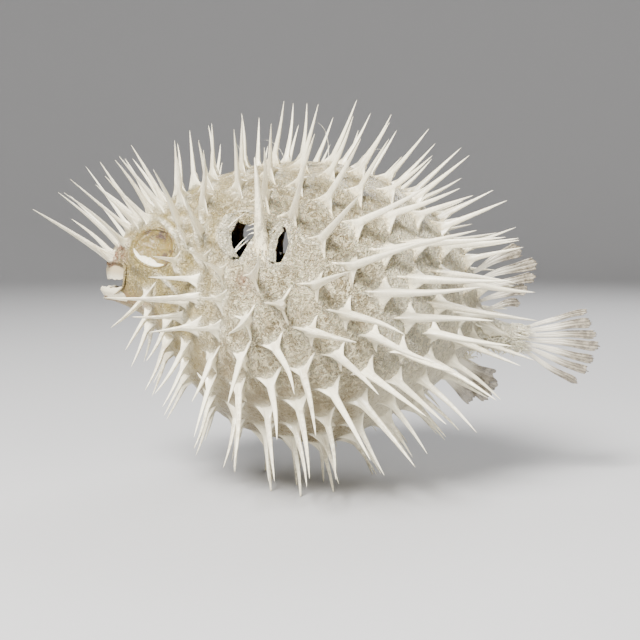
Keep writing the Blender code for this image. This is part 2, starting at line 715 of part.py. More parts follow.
def make_fin(name, roots, tips, material):
    """Flat rays that leave a common root band and part toward their tips."""
    root_line = [Vector(p) for p in roots]
    outline = []
    count = len(tips)
    for i, tip in enumerate(tips):
        tip = Vector(tip)
        share = (i + 0.5) / count
        root = root_line[0].lerp(root_line[-1], share)
        run = (tip - root).normalized()
        side = Vector((-run.y, run.x))
        if side.dot(root_line[-1] - root_line[0]) < 0.0:
            side = -side
        shoulder = root.lerp(tip, RAY_SHOULDER)
        outline.append(shoulder - side * RAY_TIP_HALF_MM)
        outline.append(tip - side * RAY_TIP_HALF_MM * RAY_TAPER)
        outline.append(tip + side * RAY_TIP_HALF_MM * RAY_TAPER)
        outline.append(shoulder + side * RAY_TIP_HALF_MM)
        if i < count - 1:
            after = Vector(tips[i + 1])
            root_after = root_line[0].lerp(root_line[-1], (i + 1.0) / count)
            outline.append(root_after.lerp(tip.lerp(after, 0.5), RAY_SPLIT))
    outline += list(reversed(root_line))
    points = []
    for y in (-0.5 * FIN_THICKNESS_MM, 0.5 * FIN_THICKNESS_MM):
        points += [(p.x, y, p.y) for p in outline]
    total = len(outline)
    faces = [tuple(range(total)), tuple(reversed(range(total, 2 * total)))]
    for i in range(total):
        j = (i + 1) % total
        faces.append((i, j, total + j, total + i))
    return mesh_object(name, points, faces, material)


def profile_line(first, last, edge):
    """Points just off the profile, for the root of a fin."""
    line = []
    for share in (0.0, 0.25, 0.5, 0.75, 1.0):
        s = first + (last - first) * share
        slope = (edge(s + 0.1) - edge(s - 0.1)) / 0.2
        away = Vector((-slope, 1.0)).normalized() * (1.0 if edge is TOP else -1.0)
        line.append(Vector((s, edge(s))) + away * FIN_CLEARANCE_MM)
    return line


def make_fins(material):
    fins = [
        make_fin("fin_dorsal", profile_line(*DORSAL_ROOT_MM, TOP), DORSAL_TIPS_MM, material),
        make_fin("fin_anal", profile_line(*ANAL_ROOT_MM, BOTTOM), ANAL_TIPS_MM, material),
    ]
    root = [(CAUDAL_ROOT_MM, CAUDAL_ROOT_HALF_MM - 0.3), (CAUDAL_ROOT_MM, -CAUDAL_ROOT_HALF_MM - 0.3)]
    fins.append(make_fin("fin_caudal", root, CAUDAL_TIPS_MM, material))
    return fins


def main():
    clear_scene()
    skin = make_material("dried_skin", SKIN_COLOUR, 0.6)
    fin = make_material("dried_fin", FIN_COLOUR, 0.5)
    beak = make_material("beak", BEAK_COLOUR, 0.4)
    eye = make_material("dried_eye", EYE_COLOUR, 0.5)
    pieces = make_skin(skin)
    open_skin(pieces)
    for piece in pieces.values():
        level_feet(piece)
    make_beak("beak_upper", UPPER_BEAK_BANDS, UPPER_BEAK_FRONT_MM, beak)
    make_beak("beak_lower", LOWER_BEAK_BANDS, LOWER_BEAK_FRONT_MM, beak)
    make_eye("eye_left", 1.0, eye)
    make_eye("eye_right", -1.0, eye)
    make_fins(fin)


main()
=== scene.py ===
"""Looks of a dried, inflated porcupinefish, built around its packed solids.

One papery skin is stretched over the hollow body and pulled up into tents by long,
three-rooted spines. The dried eyes, the beak, the gill and fin openings and the
frayed fins are pieces of their own. Shapes are worked out in the fish's own frame in
millimetres (s along the axis from the mouth, y across, h up). Angles run round the
body in degrees from the middle of the back, positive down the fish's left side.
"""
import math
from types import SimpleNamespace

import bpy
import numpy as np
from bpy.props import FloatProperty, FloatVectorProperty, IntProperty, PointerProperty
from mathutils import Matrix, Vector, noise


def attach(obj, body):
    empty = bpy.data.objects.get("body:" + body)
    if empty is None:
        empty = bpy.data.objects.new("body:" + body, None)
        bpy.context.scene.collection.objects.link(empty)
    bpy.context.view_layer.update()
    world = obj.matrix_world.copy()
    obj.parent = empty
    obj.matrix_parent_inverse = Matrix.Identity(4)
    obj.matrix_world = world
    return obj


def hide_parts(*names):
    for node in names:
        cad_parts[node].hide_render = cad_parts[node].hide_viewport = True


bl_info = {
    "name": "Dried porcupinefish",
    "version": (1, 0, 0),
    "blender": (4, 5, 0),
    "location": "View3D > Sidebar > Fish",
    "description": "Builds the skin, spines, eyes, beak and fins of a dried porcupinefish",
    "category": "Object",
}

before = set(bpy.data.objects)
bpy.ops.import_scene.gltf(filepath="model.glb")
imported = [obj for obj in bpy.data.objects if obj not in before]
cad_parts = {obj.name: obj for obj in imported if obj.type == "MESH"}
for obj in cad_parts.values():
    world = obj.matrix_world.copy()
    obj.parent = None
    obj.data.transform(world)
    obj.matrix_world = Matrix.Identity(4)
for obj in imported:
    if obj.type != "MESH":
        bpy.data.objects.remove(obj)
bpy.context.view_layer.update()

MM = 0.001
SIDES = ((1.0, "left"), (-1.0, "right"))
SKIN_NODES = (
    "head", "back", "flank_left", "flank_right", "belly_front", "belly_rear", "rump", "tail_stalk",
)

# Body -----------------------------------------------------------------------
PITCH_DEG = 7.7          # the body axis rises toward the head by this much
GROUND_MM = 60.6         # height of the mouth's middle above the ground
CENTRE_MM = 65.6         # from the mouth back to the middle of the whole length
ASIDE_MM = 0.1           # the spines reach this much further to the right than to the left

# Sections of the body: station s, top, bottom, half width, height of the widest point.
SECTIONS_MM = (
    (0.0, 7.8, -5.4, 4.5, 1.2),
    (3.0, 14.4, -6.3, 6.3, 2.6),
    (7.5, 20.1, -7.5, 9.4, 5.4),
    (13.5, 24.9, -10.2, 15.6, 7.2),
    (21.0, 30.0, -17.1, 22.5, 6.0),
    (30.0, 36.3, -27.6, 30.0, 3.6),
    (40.5, 40.8, -35.7, 36.3, 1.2),
    (51.0, 43.2, -39.3, 40.2, 0.0),
    (61.5, 44.4, -40.2, 42.0, 0.0),
    (70.5, 43.5, -39.6, 41.7, 0.0),
    (79.5, 41.1, -35.4, 39.3, 0.6),
    (88.5, 36.9, -29.4, 34.5, 1.2),
    (96.0, 31.5, -24.3, 28.2, 1.8),
    (102.0, 26.4, -18.0, 21.6, 2.1),
    (106.5, 21.0, -12.3, 15.9, 2.4),
    (110.4, 13.8, -6.9, 9.6, 2.1),
    (113.4, 6.6, -4.2, 3.9, 0.9),
    (118.5, 4.2, -3.6, 2.4, 0.3),
    (126.0, 3.3, -3.9, 1.8, -0.3),
)
FRONT_MM = 0.4           # where the skin starts above and below the mouth
CORNER_MM = 6.2          # and at the corners of the mouth
MOUTH_DEG = (54.0, 90.0, 112.0, 152.0)        # angles between which the skin is drawn back
MOUTH_REACH_MM = 16.0    # the points of the skin are evened out again behind this station
WIDEST_S_MM = 61.5       # station of the widest section
STALK_START_MM = 111.0
STALK_END_MM = 126.0

# Openings of the skin, the left ones, as outlines of (station, angle) corners.
EYE_S_MM = 14.6
EYE_DEG = 72.0
EYE_RADIUS_MM = 5.7
EYE_TURN = 0.42          # the socket faces this much more to the side than the skin round it
GILL_OUTLINE = (
    (33.3, 60.5), (34.6, 54.0), (38.2, 50.6), (42.6, 51.4), (44.8, 57.0), (43.2, 62.0), (41.4, 67.5),
    (39.8, 72.0), (36.0, 69.0),
)
FIN_HOLE_OUTLINE = ((50.9, 55.5), (52.8, 61.0), (52.9, 66.0), (50.9, 72.0), (48.4, 69.5), (47.9, 62.0))

# Raised white creases of the head: where they start and end, height and half width.
CREASES = (
    (13.4, 37.0, 22.4, 72.0, 1.35, 0.7),
    (21.4, 58.0, 25.6, 73.0, 1.20, 0.6),
    (25.4, 69.0, 29.6, 79.0, 1.05, 0.6),
    (26.2, 45.0, 30.6, 70.0, 0.90, 0.5),
    (24.2, 50.0, 28.4, 70.0, 0.60, 0.5),
    (17.4, 42.0, 22.8, 56.0, 0.90, 0.7),
    (19.4, 84.0, 24.4, 86.0, 0.60, 0.6),
    (16.0, 96.0, 24.0, 99.0, 0.60, 0.6),
)

# Brownish stains: station, angle, length, width in degrees and strength.
STAINS = (
    (1.8, 68.0, 3.6, 24.0, 1.1),
    (3.0, 48.0, 2.4, 16.0, 0.5),
    (3.2, 142.0, 5.0, 26.0, 0.7),
    (11.0, 138.0, 7.0, 13.0, 0.45),
    (42.6, 80.0, 2.6, 3.0, 1.0),
)

# Relief of the skin: it is pulled up into a tent round each spine, with a ridge over each root.
TENT_REACH = 0.25        # a tent falls off over this share of the distance to the next spine
TENT_MEAN_MM = 0.75      # mean height of the tents, which the form of the body has already
TENT_ZONES = {"forehead": 1.1, "rear": -0.2, "flat_back": -0.8, "low": -0.2, "middle": -0.3}
RIDGE_ZONES = {"forehead": 0.5, "rear": 0.4, "flat_back": -0.3, "upper": 0.25}
RIDGE_BASE = 0.2
RIDGE_REACH = 0.85       # a ridge ends at this share of the distance to the next spine
RIDGE_HALF_MM = 0.8
RIDGE_AREA_MM = 11.0     # and at the latest this far from its spine
SOCKET_MM = 6.5          # the turned part of the eye socket reaches this far from its middle
GILL_RIM = (0.25, 0.5)   # height of an opening's rim, and how white it is
FIN_HOLE_RIM = (0.3, 0.5)
HOLE_AREA_MM = 16.0      # openings have no effect on points further away than this
NOISE_INCREMENT = 0.8
NOISE_LACUNARITY = 2.1
POINTS_AT_ONCE = 4096
FAR_MM = 99.0
TINY = 1e-9

# Maps for the textures, in shares of the map.
MAP_OUTSIDE = (0.005, 0.70)      # where the skin's outside starts, and its width
MAP_INSIDE = (0.72, 0.27)        # the same of its inside
MAP_MARGIN = 0.005               # above and below both
MAP_JUMP = 0.2                   # a quad that is wider than this crosses the seam
SPINE_MAP = (0.02, 0.96)         # where the unwrapped body starts in the spines' maps, and its size
SPINE_PATCH = 0.012              # size of one spine's patch there

# Spines ---------------------------------------------------------------------
RING_FIRST_MM = 28.3
RING_PITCH_MM = 8.4
RING_COUNT = 9
RING_SPINES = 22
RING_DROOP_DEG = 4.0
RIGHT_SHIFT_MM = 3.4     # right of the middle of the back they stand this much further back
RIGHT_SHIFT_DEG = (0.0, 8.0, 34.0, 56.0)       # it comes in and fades out between these angles
RIGHT_SHIFT_S_MM = (28.3, 36.7, 80.0, 95.0)    # and stations
HEAD_ROWS = (
    (1.4, (54,)),
    (2.6, (32,)),
    (4.8, (11, 50)),
    (7.6, (0, 29)),
    (11.2, (15, 38)),
    (14.6, (0, 25)),
    (19.2, (11,)),
    (21.8, (34, 55, 126, 147, 169)),
    (23.4, (0,)),
    (15.0, (116, 140, 165)),
)
RUMP_ROWS = (
    (103.9, (11, 34, 57, 80, 103, 126, 149)),
    (108.7, (40, 75, 110)),
)
STALK_ROW_MM = 113.2
STALK_ROW_DEG = 78.0
STALK_SPINE_MM = 14.0
# The cheeks have smaller spines of their own, which no row passes through:
# station, angle, length, lean toward the tail and lean down the side.
CHEEK_S_MM = (20.0, 40.0)
CHEEK_DEG = (65.0, 113.0)
CHEEK_SPINES = (
    (21.6, 80.0, 11.0, 0.30, 0.00),
    (24.6, 67.0, 12.0, 0.45, -0.10),
    (25.6, 111.0, 14.5, -0.95, 0.47),
    (26.6, 100.5, 14.5, -1.00, 0.39),
    (28.4, 86.0, 12.0, -1.00, 0.42),
    (29.6, 94.6, 27.0, -0.95, 0.38),
    (30.6, 75.0, 12.0, 0.35, 0.00),
    (30.8, 108.5, 12.5, -0.85, 0.55),
    (36.0, 79.0, 12.0, 0.20, 0.00),
    (36.7, 90.0, 10.0, -0.10, 0.10),
    (36.7, 103.5, 12.5, -0.45, -0.15),
)
UPRIGHT_SPINE = (46.4, 67.0, 27.0)   # one stands upright between the left openings
UPRIGHT_LEAN = 1.9
UPRIGHT_FORWARD = 0.15
# Spine lengths along the back, the flank and the belly: stations and lengths there.
BACK_LENGTHS_MM = (
    (0.0, 27.0), (7.6, 19.0), (11.2, 18.0), (14.6, 20.5), (20.0, 17.0), (28.0, 15.0), (40.0, 17.5),
    (95.0, 19.5), (112.0, 16.0),
)
FLANK_LENGTHS_MM = ((0.0, 32.0), (20.0, 24.0), (45.0, 28.5), (75.0, 30.0), (95.0, 23.0), (112.0, 18.0))
BELLY_LENGTHS_MM = ((0.0, 12.0), (20.0, 14.0), (75.0, 13.5), (95.0, 14.0), (112.0, 12.0))
BACK_FLANK_DEG = (28.0, 62.0)
FLANK_BELLY_DEG = (112.0, 158.0)
THROAT_SHORTER = 0.22    # those below the cheeks are shorter by this share
THROAT_S_MM = (33.0, 42.0)                     # which fades out between these stations
THROAT_DEG = (96.0, 112.0, 130.0, 150.0)
# Lean toward the tail, as the tangent of the angle to the normal: stations and leans.
BACK_LEANS = (
    (0.0, 0.20), (5.0, 0.05), (14.0, -0.05), (18.0, 0.25), (24.0, 0.45), (45.0, 0.20), (75.0, 0.28),
    (112.0, 0.30),
)
FLANK_LEANS = ((0.0, 0.06), (20.0, 0.55), (45.0, 0.42), (75.0, 0.18), (112.0, 0.15))
BELLY_LEANS = ((0.0, 0.40), (20.0, 0.60), (45.0, 0.38), (75.0, 0.15), (112.0, 0.15))
UPPER_REAR_LEAN = 0.60   # those high on the rear flank lean this much more
UPPER_REAR_S_MM = (55.0, 80.0)
UPPER_REAR_DEG = (30.0, 55.0, 78.0, 98.0)
STALK_LEAN = 2.2
SCATTER = 0.14
LENGTH_SCATTER = 0.08
FOOT_REACH_MM = 3.0      # tips this close to the ground stand on it
OPENING_REACHES = (      # no spine grows this near to an opening
    (14.6, 72.0, 6.9),
    (40.0, 61.5, 7.8),
    (51.2, 65.0, 6.4),
)
WIDEST_GAP_MM = 10.0     # a spine further than this from the next one is as wide as one this far
ROOT_HEADINGS_DEG = (180.0, 68.0, -68.0)      # forward, and to both sides
HEADING_SCATTER_DEG = 7.0
ROOT_HALF_DEG = 9.0
ROOT_SCATTER = 0.22
ROOT_SUNK_MM = 0.9       # the foot of a spine closes this far below the skin
ROW_GAP_MM = 9.0         # distance between spines at which the roots have their full reach
LONGEST_SHAFT_MM = 26.0
BLUNT_TIP_MM = 0.2       # radius of the tips that the fish stands on
UPRIGHT_THICKER = 1.55
UPRIGHT_SHEATH = 0.85    # share of the upright spine that dry skin still covers
LOBE_DEG = (-26.0, -13.0, -5.5, 0.0, 5.5, 13.0, 26.0)
FLARE_SHARES = (1.0, 0.8, 0.58, 0.36, 0.17, 0.0)
SHAFT_SHARES = (0.05, 0.12, 0.21, 0.32, 0.45, 0.6, 0.75, 0.88, 0.965, 1.0)
BACK_DEG = 40.0          # bounds of the regions that the spines are joined by
BELLY_DEG = 112.0
HEAD_END_MM = 27.0

# Smaller pieces -------------------------------------------------------------
EYE_SKIN_MM = 0.4        # thickness of the dried eyes
FLAP_MM = 0.3            # thickness of the lids, gums and flaps
# Brown traces in the eyes: turn and half width there, share of the way out and half width there.
EYE_TRACES = ((4.9, 0.7, 0.78, 0.22), (0.6, 0.5, 0.75, 0.24))
# Plates of the beak: name, heights of root and edge, station of the front, widths at the root,
# halfway and the edge as shares, arch of the edge and how worn the whole plate is.
BEAK_PLATES = (
    ("beak_upper", 6.2, 0.9, 0.1, (1.0, 1.02, 0.98), (0.9, 0.9), 0.0),
    ("beak_lower", -4.8, -0.5, -1.2, (0.84, 0.98, 1.0), (0.0, 1.4), 0.75),
)

# Flaps of dried tissue in the openings: name, whiteness, the two edges as (station, angle)
# points, rows, columns, depth of the folds, heights across it and a number that varies the folds.
FLAPS = (
    (
        "gill_flap_", 0.5,
        (
            ((34.6, 52.0), (33.2, 57.0), (33.0, 62.0), (34.8, 68.5), (38.2, 72.2)),
            ((38.0, 52.6), (36.9, 56.5), (36.2, 61.0), (36.9, 66.5), (39.6, 71.2)),
        ),
        48, 28, 0.55, (-0.45, 0.1, 0.35, -0.2, -1.8), 1.0,
    ),
    (
        "gill_roof_", 0.0,
        (
            ((36.0, 50.3), (38.6, 49.6), (42.4, 50.4), (44.6, 54.0)),
            ((38.0, 54.2), (40.0, 55.0), (42.3, 54.6), (43.3, 57.0)),
        ),
        36, 18, 0.16, (-0.45, -0.6, -1.2, -2.0), 2.0,
    ),
    (
        "fin_flap_", 0.45,
        (
            ((49.5, 54.8), (47.5, 59.0), (47.4, 66.0), (48.3, 70.5)),
            ((51.3, 57.5), (50.0, 61.0), (49.8, 66.0), (50.3, 71.2)),
        ),
        36, 20, 0.3, (-0.45, -0.1, 0.0, -0.9), 3.0,
    ),
)
# Needles in the gill opening: both ends, the heights of both and the radius.
NEEDLES = (
    ((36.4, 59.0), (41.0, 51.5), 0.5, 0.9, 0.3),
    ((38.0, 69.5), (41.8, 62.5), -1.8, -1.4, 0.3),
    ((37.5, 67.0), (40.6, 60.5), -3.2, -2.6, 0.34),
    ((44.2, 55.5), (41.2, 56.5), -0.5, -1.1, 0.26),
    ((44.2, 57.6), (40.9, 58.8), -0.5, -1.2, 0.28),
    ((43.4, 59.9), (41.4, 60.9), -0.5, -1.1, 0.24),
)
# Loose fibres: how many there are, and where the shreds of the cheek start and end.
STALK_FIBRES = 240
END_FIBRES = 110
BACK_THREADS = 4
CHEEK_SHREDS = (((34.8, 119.0), (36.4, 122.5)), ((32.0, 137.5), (36.8, 133.0)))

# Fins, in the plane of symmetry: stations and heights of roots and tips of the rays.
DORSAL_ROOT_MM = (107.6, 113.6)
DORSAL_TIPS_MM = ((121.5, 26.4), (126.8, 22.6), (127.0, 18.4), (125.4, 14.6), (123.6, 10.6))
DORSAL_HALF_WIDTHS_MM = (2.6, 2.1, 1.7, 1.9, 1.6)
ANAL_ROOT_MM = (108.4, 103.6)
ANAL_TIPS_MM = ((119.2, -13.4), (120.4, -16.2), (119.0, -19.0), (114.5, -20.6))
CAUDAL_ROOT_MM = 125.2
CAUDAL_HALF_MM = 2.6
CAUDAL_TIPS_MM = (
    (143.9, 10.4), (145.8, 7.3), (147.8, 3.8), (149.2, 0.4), (148.2, -4.0), (147.0, -7.6), (144.2, -11.4),
)
CAUDAL_HALF_WIDTHS_MM = (1.05, 1.7, 1.5, 1.7, 1.5, 1.45, 1.25)
FIN_SUNK_MM = 1.0        # the rays of the dorsal and anal fins start this far inside the skin
RAY_SHARE = 0.8          # thickness of the thin part of a ray, as a share of the whole

# Materials and stage --------------------------------------------------------
MIX_INPUTS = (0, 6, 7)   # a Mix node's sockets for the factor and two colours
MIX_OUTPUT = 2
STREAK_LAYERS = {"Along": "along", "Across": "turn", "Tone": "tone"}   # inputs and mesh values
MIDDLE_GREY = (0.5, 0.5, 0.5, 1.0)
AIM_POINT = (-0.0017, -0.0001, 0.0489)     # the camera looks at this point
LIT_POINT = (0.0, 0.0, 0.055)              # and the lights at this one
# Lights: name, place, size, power and colour.
LIGHTS = (
    ("key", (-0.27, -0.50, 0.67), 0.36, 34.0, (1.0, 0.98, 0.94)),
    ("fill", (0.7, -0.6, 0.3), 0.8, 3.6, (1.0, 0.99, 0.96)),
    ("back", (0.25, 0.6, 0.6), 0.5, 6.0, (1.0, 1.0, 1.0)),
)


# Settings ---------------------------------------------------------------------
def colour_property(name, description, default):
    return FloatVectorProperty(
        name=name, description=description, default=default, size=4, min=0.0, max=1.0, subtype="COLOR"
    )


def length_property(name, description, default):
    return FloatProperty(name=name, description=description, default=default, min=0.0, unit="LENGTH")


class SkinSettings(bpy.types.PropertyGroup):
    """The dried skin."""

    grid: length_property("Grid", "Distance between the points of the skin", 0.00107)
    thickness: length_property("Thickness", "Thickness of the dried skin", 0.00045)
    tent_share: FloatProperty(
        name="Tents", description="Rise of the skin at a spine, as a share of the distance to the next one",
        default=0.165, min=0.0, max=1.0, subtype="FACTOR",
    )
    ridge: length_property("Ridges", "Height of the ridges that the roots raise", 0.001)
    crumple: length_property("Crumple", "Height of the small folds", 0.0004)
    # Paper also paints the highlight on raised creases, and tan the shade in the pits between them.
    paper: colour_property("Paper", "Whitish, crumpled skin", (0.88, 0.78, 0.53, 1.0))
    tan: colour_property("Tan", "Thin, half transparent skin", (0.16, 0.12, 0.055, 1.0))
    cream: colour_property("Cream", "Fatty, yellowish skin of the head", (0.27, 0.205, 0.06, 1.0))
    stain: colour_property("Stain", "Old, brownish stains", (0.26, 0.13, 0.075, 1.0))
    # Near-black colour painted on the skin's inner surface: painted shade of the hollow inside.
    inside_shade: colour_property("Inside shade", "Dark inside of the skin", (0.055, 0.04, 0.028, 1.0))


class SpineSettings(bpy.types.PropertyGroup):
    """The spines."""

    radius: length_property("Radius", "Radius of the longest shafts above the roots", 0.00112)
    collar: length_property("Collar", "Height at which the roots have become the shaft", 0.0026)
    front_root: length_property("Front root", "Reach of the root that points forward", 0.0044)
    side_root: length_property("Side roots", "Reach of the two roots at the sides", 0.0054)
    white: colour_property("White", "Enamel of the shafts", (0.97, 0.915, 0.72, 1.0))
    # The streaks are partly the shafts' own tone and partly painted shade that darkens them.
    shade: colour_property("Shade", "Greyish streaks along the shafts", (0.44, 0.37, 0.235, 1.0))


class EyeSettings(bpy.types.PropertyGroup):
    """The dried eyes."""

    depth: length_property("Depth", "How deep the dish of the eye sags", 0.0011)
    membrane: colour_property("Membrane", "Dull tan of the dried eye", (0.165, 0.12, 0.032, 1.0))
    mottle: colour_property("Mottle", "Brown traces in it", (0.05, 0.027, 0.018, 1.0))
    lid: colour_property("Lid", "White of the lower lid", (0.84, 0.77, 0.58, 1.0))


class BeakSettings(bpy.types.PropertyGroup):
    """The two plates of the beak."""

    half_width: length_property("Half width", "Half width of the plates at the root", 0.0059)
    enamel: colour_property("Enamel", "Greyish tan of the upper plate", (0.44, 0.36, 0.22, 1.0))
    edge: colour_property("Edge", "Whitish cutting edge and lower plate", (0.74, 0.68, 0.52, 1.0))


class FinSettings(bpy.types.PropertyGroup):
    """The dried fins."""

    thickness: length_property("Thickness", "Thickness of a dried ray", 0.00035)
    points: IntProperty(name="Points", description="Points along one ray", default=34, min=4)
    ray: colour_property("Ray", "Pale ray", (0.78, 0.73, 0.61, 1.0))
    membrane: colour_property("Membrane", "Half transparent skin at the ends", (0.12, 0.09, 0.05, 1.0))
    blotch: colour_property("Blotch", "Pale blotches of that skin", (0.42, 0.37, 0.28, 1.0))


class StageSettings(bpy.types.PropertyGroup):
    """Floor, lights and camera."""

    floor: colour_property("Floor", "Plain pale floor", (0.42, 0.42, 0.43, 1.0))
    room: colour_property("Room", "Even light of the room", (0.90, 0.90, 0.90, 1.0))
    distance: length_property("Distance", "From the camera to the fish", 0.38)
    lens: FloatProperty(name="Lens", description="Focal length in millimetres", default=71.25, min=1.0)
    height_deg: FloatProperty(
        name="Height", description="Angle of view above the horizon, in degrees", default=5.0
    )


# Form of the body -------------------------------------------------------------
def smooth_curve(xs, ys):
    """Monotone cubic through the points, level beyond both ends."""
    xs = np.array(xs, float)
    ys = np.array(ys, float)
    steps = np.diff(xs)
    slopes = np.diff(ys) / steps
    tangents = [slopes[0]]
    for before, after, h0, h1 in zip(slopes, slopes[1:], steps, steps[1:]):
        w0 = 2.0 * h1 + h0
        w1 = h1 + 2.0 * h0
        tangents.append(0.0 if before * after <= 0.0 else (w0 + w1) / (w0 / before + w1 / after))
    tangents = np.array(tangents + [slopes[-1]])

    def value(x):
        x = np.clip(x, xs[0], xs[-1])
        i = np.clip(np.searchsorted(xs, x) - 1, 0, len(steps) - 1)
        h = steps[i]
        t = (x - xs[i]) / h
        return (
            (1 + 2 * t) * (1 - t) ** 2 * ys[i]
            + t * (1 - t) ** 2 * h * tangents[i]
            + t * t * (3 - 2 * t) * ys[i + 1]
            + t * t * (t - 1) * h * tangents[i + 1]
        )

    return value


STATIONS = [row[0] for row in SECTIONS_MM]
TOP, BOTTOM, HALF_WIDTH, WIDEST = (
    smooth_curve(STATIONS, [row[i] for row in SECTIONS_MM]) for i in (1, 2, 3, 4)
)


def skin_point(s, angle):
    """Points of the smooth outer skin."""
    s, angle = np.broadcast_arrays(np.asarray(s, float), np.asarray(angle, float))
    turn = np.radians(angle)
    widest = WIDEST(s)
    rise = np.where(np.cos(turn) > 0.0, TOP(s) - widest, widest - BOTTOM(s))
    return np.stack([s, -HALF_WIDTH(s) * np.sin(turn), widest + rise * np.cos(turn)], axis=-1)


def unit(vectors):
    return vectors / np.maximum(np.linalg.norm(vectors, axis=-1, keepdims=True), TINY)


def skin_axes(s, angle):
    """Outward normals, tailward tangents and directions round the body, down the left side."""
    ds = 0.05
    da = 0.5
    s = np.asarray(s, float)
    tail = unit(skin_point(s + ds, angle) - skin_point(s - ds, angle))
    round_body = unit(skin_point(s, angle + da) - skin_point(s, angle - da))
    outward = unit(np.cross(tail, round_body))
    middle = skin_point(s, angle) * 0.0
    middle[..., 0] = s
    middle[..., 2] = WIDEST(s)
    facing = ((skin_point(s, angle) - middle) * outward).sum(-1, keepdims=True)
    return np.where(facing < 0.0, -outward, outward), tail, round_body


def skin_scales(s, angle):
    """Millimetres on the skin for one of station, and for one degree round the body."""
    along = np.linalg.norm(skin_point(s + 0.5, angle) - skin_point(s - 0.5, angle), axis=-1)
    around = np.linalg.norm(skin_point(s, angle + 0.5) - skin_point(s, angle - 0.5), axis=-1)
    return along, np.maximum(around, 0.02)


def to_world(points):
    """From the fish's own frame in millimetres to the world in metres."""
    points = np.asarray(points, float)
    pitch = math.radians(PITCH_DEG)
    x = points[..., 0] * math.cos(pitch) + points[..., 2] * math.sin(pitch) - CENTRE_MM
    y = points[..., 1] - ASIDE_MM
    z = -points[..., 0] * math.sin(pitch) + points[..., 2] * math.cos(pitch) + GROUND_MM
    return np.stack([x, y, z], axis=-1) * MM


def ease(x, start, end):
    """Rises smoothly from 0 at the start to 1 at the end."""
    t = np.clip((np.asarray(x, float) - start) / (end - start), 0.0, 1.0)
    return t * t * (3.0 - 2.0 * t)


def plateau(x, start, full, fading, end):
    """Rises from 0 to 1, stays there and falls back to 0."""
    return ease(x, start, full) * (1.0 - ease(x, fading, end))


def bump(x, low, high, soft):
    """One between low and high, fading to nothing over a soft edge."""
    return plateau(x, low - soft, low, high, high + soft)


def bell(x, middle, width):
    """One at the middle, falling off evenly on both sides."""
    return np.exp(-((x - middle) / width) ** 2)


def from_back(angle):
    """Degrees from the middle of the back, the same on both sides."""
    return np.abs((np.asarray(angle) + 180.0) % 360.0 - 180.0)


def scatter(number, channel):
    """Repeatable uneven values between -1 and 1."""
    wave = np.sin(np.asarray(number, float) * 12.9898 + channel * 78.233) * 43758.5453
    return 2.0 * (wave - np.floor(wave)) - 1.0


def noise_at(points, wave_mm, octaves=2):
    """Smooth noise of about -1 to 1 at each point, with folds of the given length."""
    flat = np.asarray(points, float).reshape(-1, 3) / wave_mm
    values = [noise.fractal(Vector(p), NOISE_INCREMENT, NOISE_LACUNARITY, octaves) for p in flat]
    return np.array(values).reshape(np.shape(points)[:-1])


# Spines' places ---------------------------------------------------------------
def over_body(s, angle, back, flank, belly):
    """A value that runs from the back over the flank to the belly, and along the body."""
    side = abs(angle)
    lines = [float(np.interp(s, *zip(*profile))) for profile in (back, flank, belly)]
    upper = lines[0] + (lines[1] - lines[0]) * ease(side, *BACK_FLANK_DEG)
    return upper + (lines[2] - upper) * ease(side, *FLANK_BELLY_DEG)


def spine_length(s, angle):
    throat = (1.0 - ease(s, *THROAT_S_MM)) * plateau(abs(angle), *THROAT_DEG)
    length = over_body(s, angle, BACK_LENGTHS_MM, FLANK_LENGTHS_MM, BELLY_LENGTHS_MM)
    return length * (1.0 - THROAT_SHORTER * throat)


def spine_lean(s, angle):
    """How far a spine leans toward the tail, as the tangent of its angle to the normal."""
    if s > STALK_START_MM:
        return STALK_LEAN
    upper_rear = ease(s, *UPPER_REAR_S_MM) * plateau(abs(angle), *UPPER_REAR_DEG)
    return over_body(s, angle, BACK_LEANS, FLANK_LEANS, BELLY_LEANS) + UPPER_REAR_LEAN * upper_rear


def is_blocked(s, angle):
    """True where an opening, or a spine of the cheek's own, takes the place of one of a row."""
    if CHEEK_S_MM[0] < s < CHEEK_S_MM[1] and CHEEK_DEG[0] < abs(angle) < CHEEK_DEG[1]:
        return True
    spot = skin_point(s, abs(angle))
    return any(np.linalg.norm(spot - skin_point(hs, ha)) < reach for hs, ha, reach in OPENING_REACHES)


def mirrored(rows):
    for s, angles in rows:
        for angle in angles:
            yield s, float(angle)
            if 0 < angle < 180:
                yield s, -float(angle)


def right_shift(s, angle):
    """How far back a spine stands because it is on the right side of the back."""
    return RIGHT_SHIFT_MM * plateau(-angle, *RIGHT_SHIFT_DEG) * plateau(s, *RIGHT_SHIFT_S_MM)


def spine_sites():
    """Station, angle and full length of every spine, in the order of the solids."""
    sites = list(mirrored(HEAD_ROWS)) + list(mirrored(RUMP_ROWS))
    for ring in range(RING_COUNT):
        s = RING_FIRST_MM + ring * RING_PITCH_MM
        for i in range(RING_SPINES):
            turn = -180.0 + (i + 0.5 * (ring % 2 == 0)) * 360.0 / RING_SPINES
            sites.append((s, turn + RING_DROOP_DEG * math.sin(math.radians(turn))))
    sites = [(s + right_shift(s, a), a, spine_length(s, a)) for s, a in sites if not is_blocked(s, a)]
    sites += [(STALK_ROW_MM, side * STALK_ROW_DEG, STALK_SPINE_MM) for side in (1.0, -1.0)]
    sites += [(row[0], side * row[1], row[2]) for row in CHEEK_SPINES for side in (1.0, -1.0)]
    return sites + [UPRIGHT_SPINE]


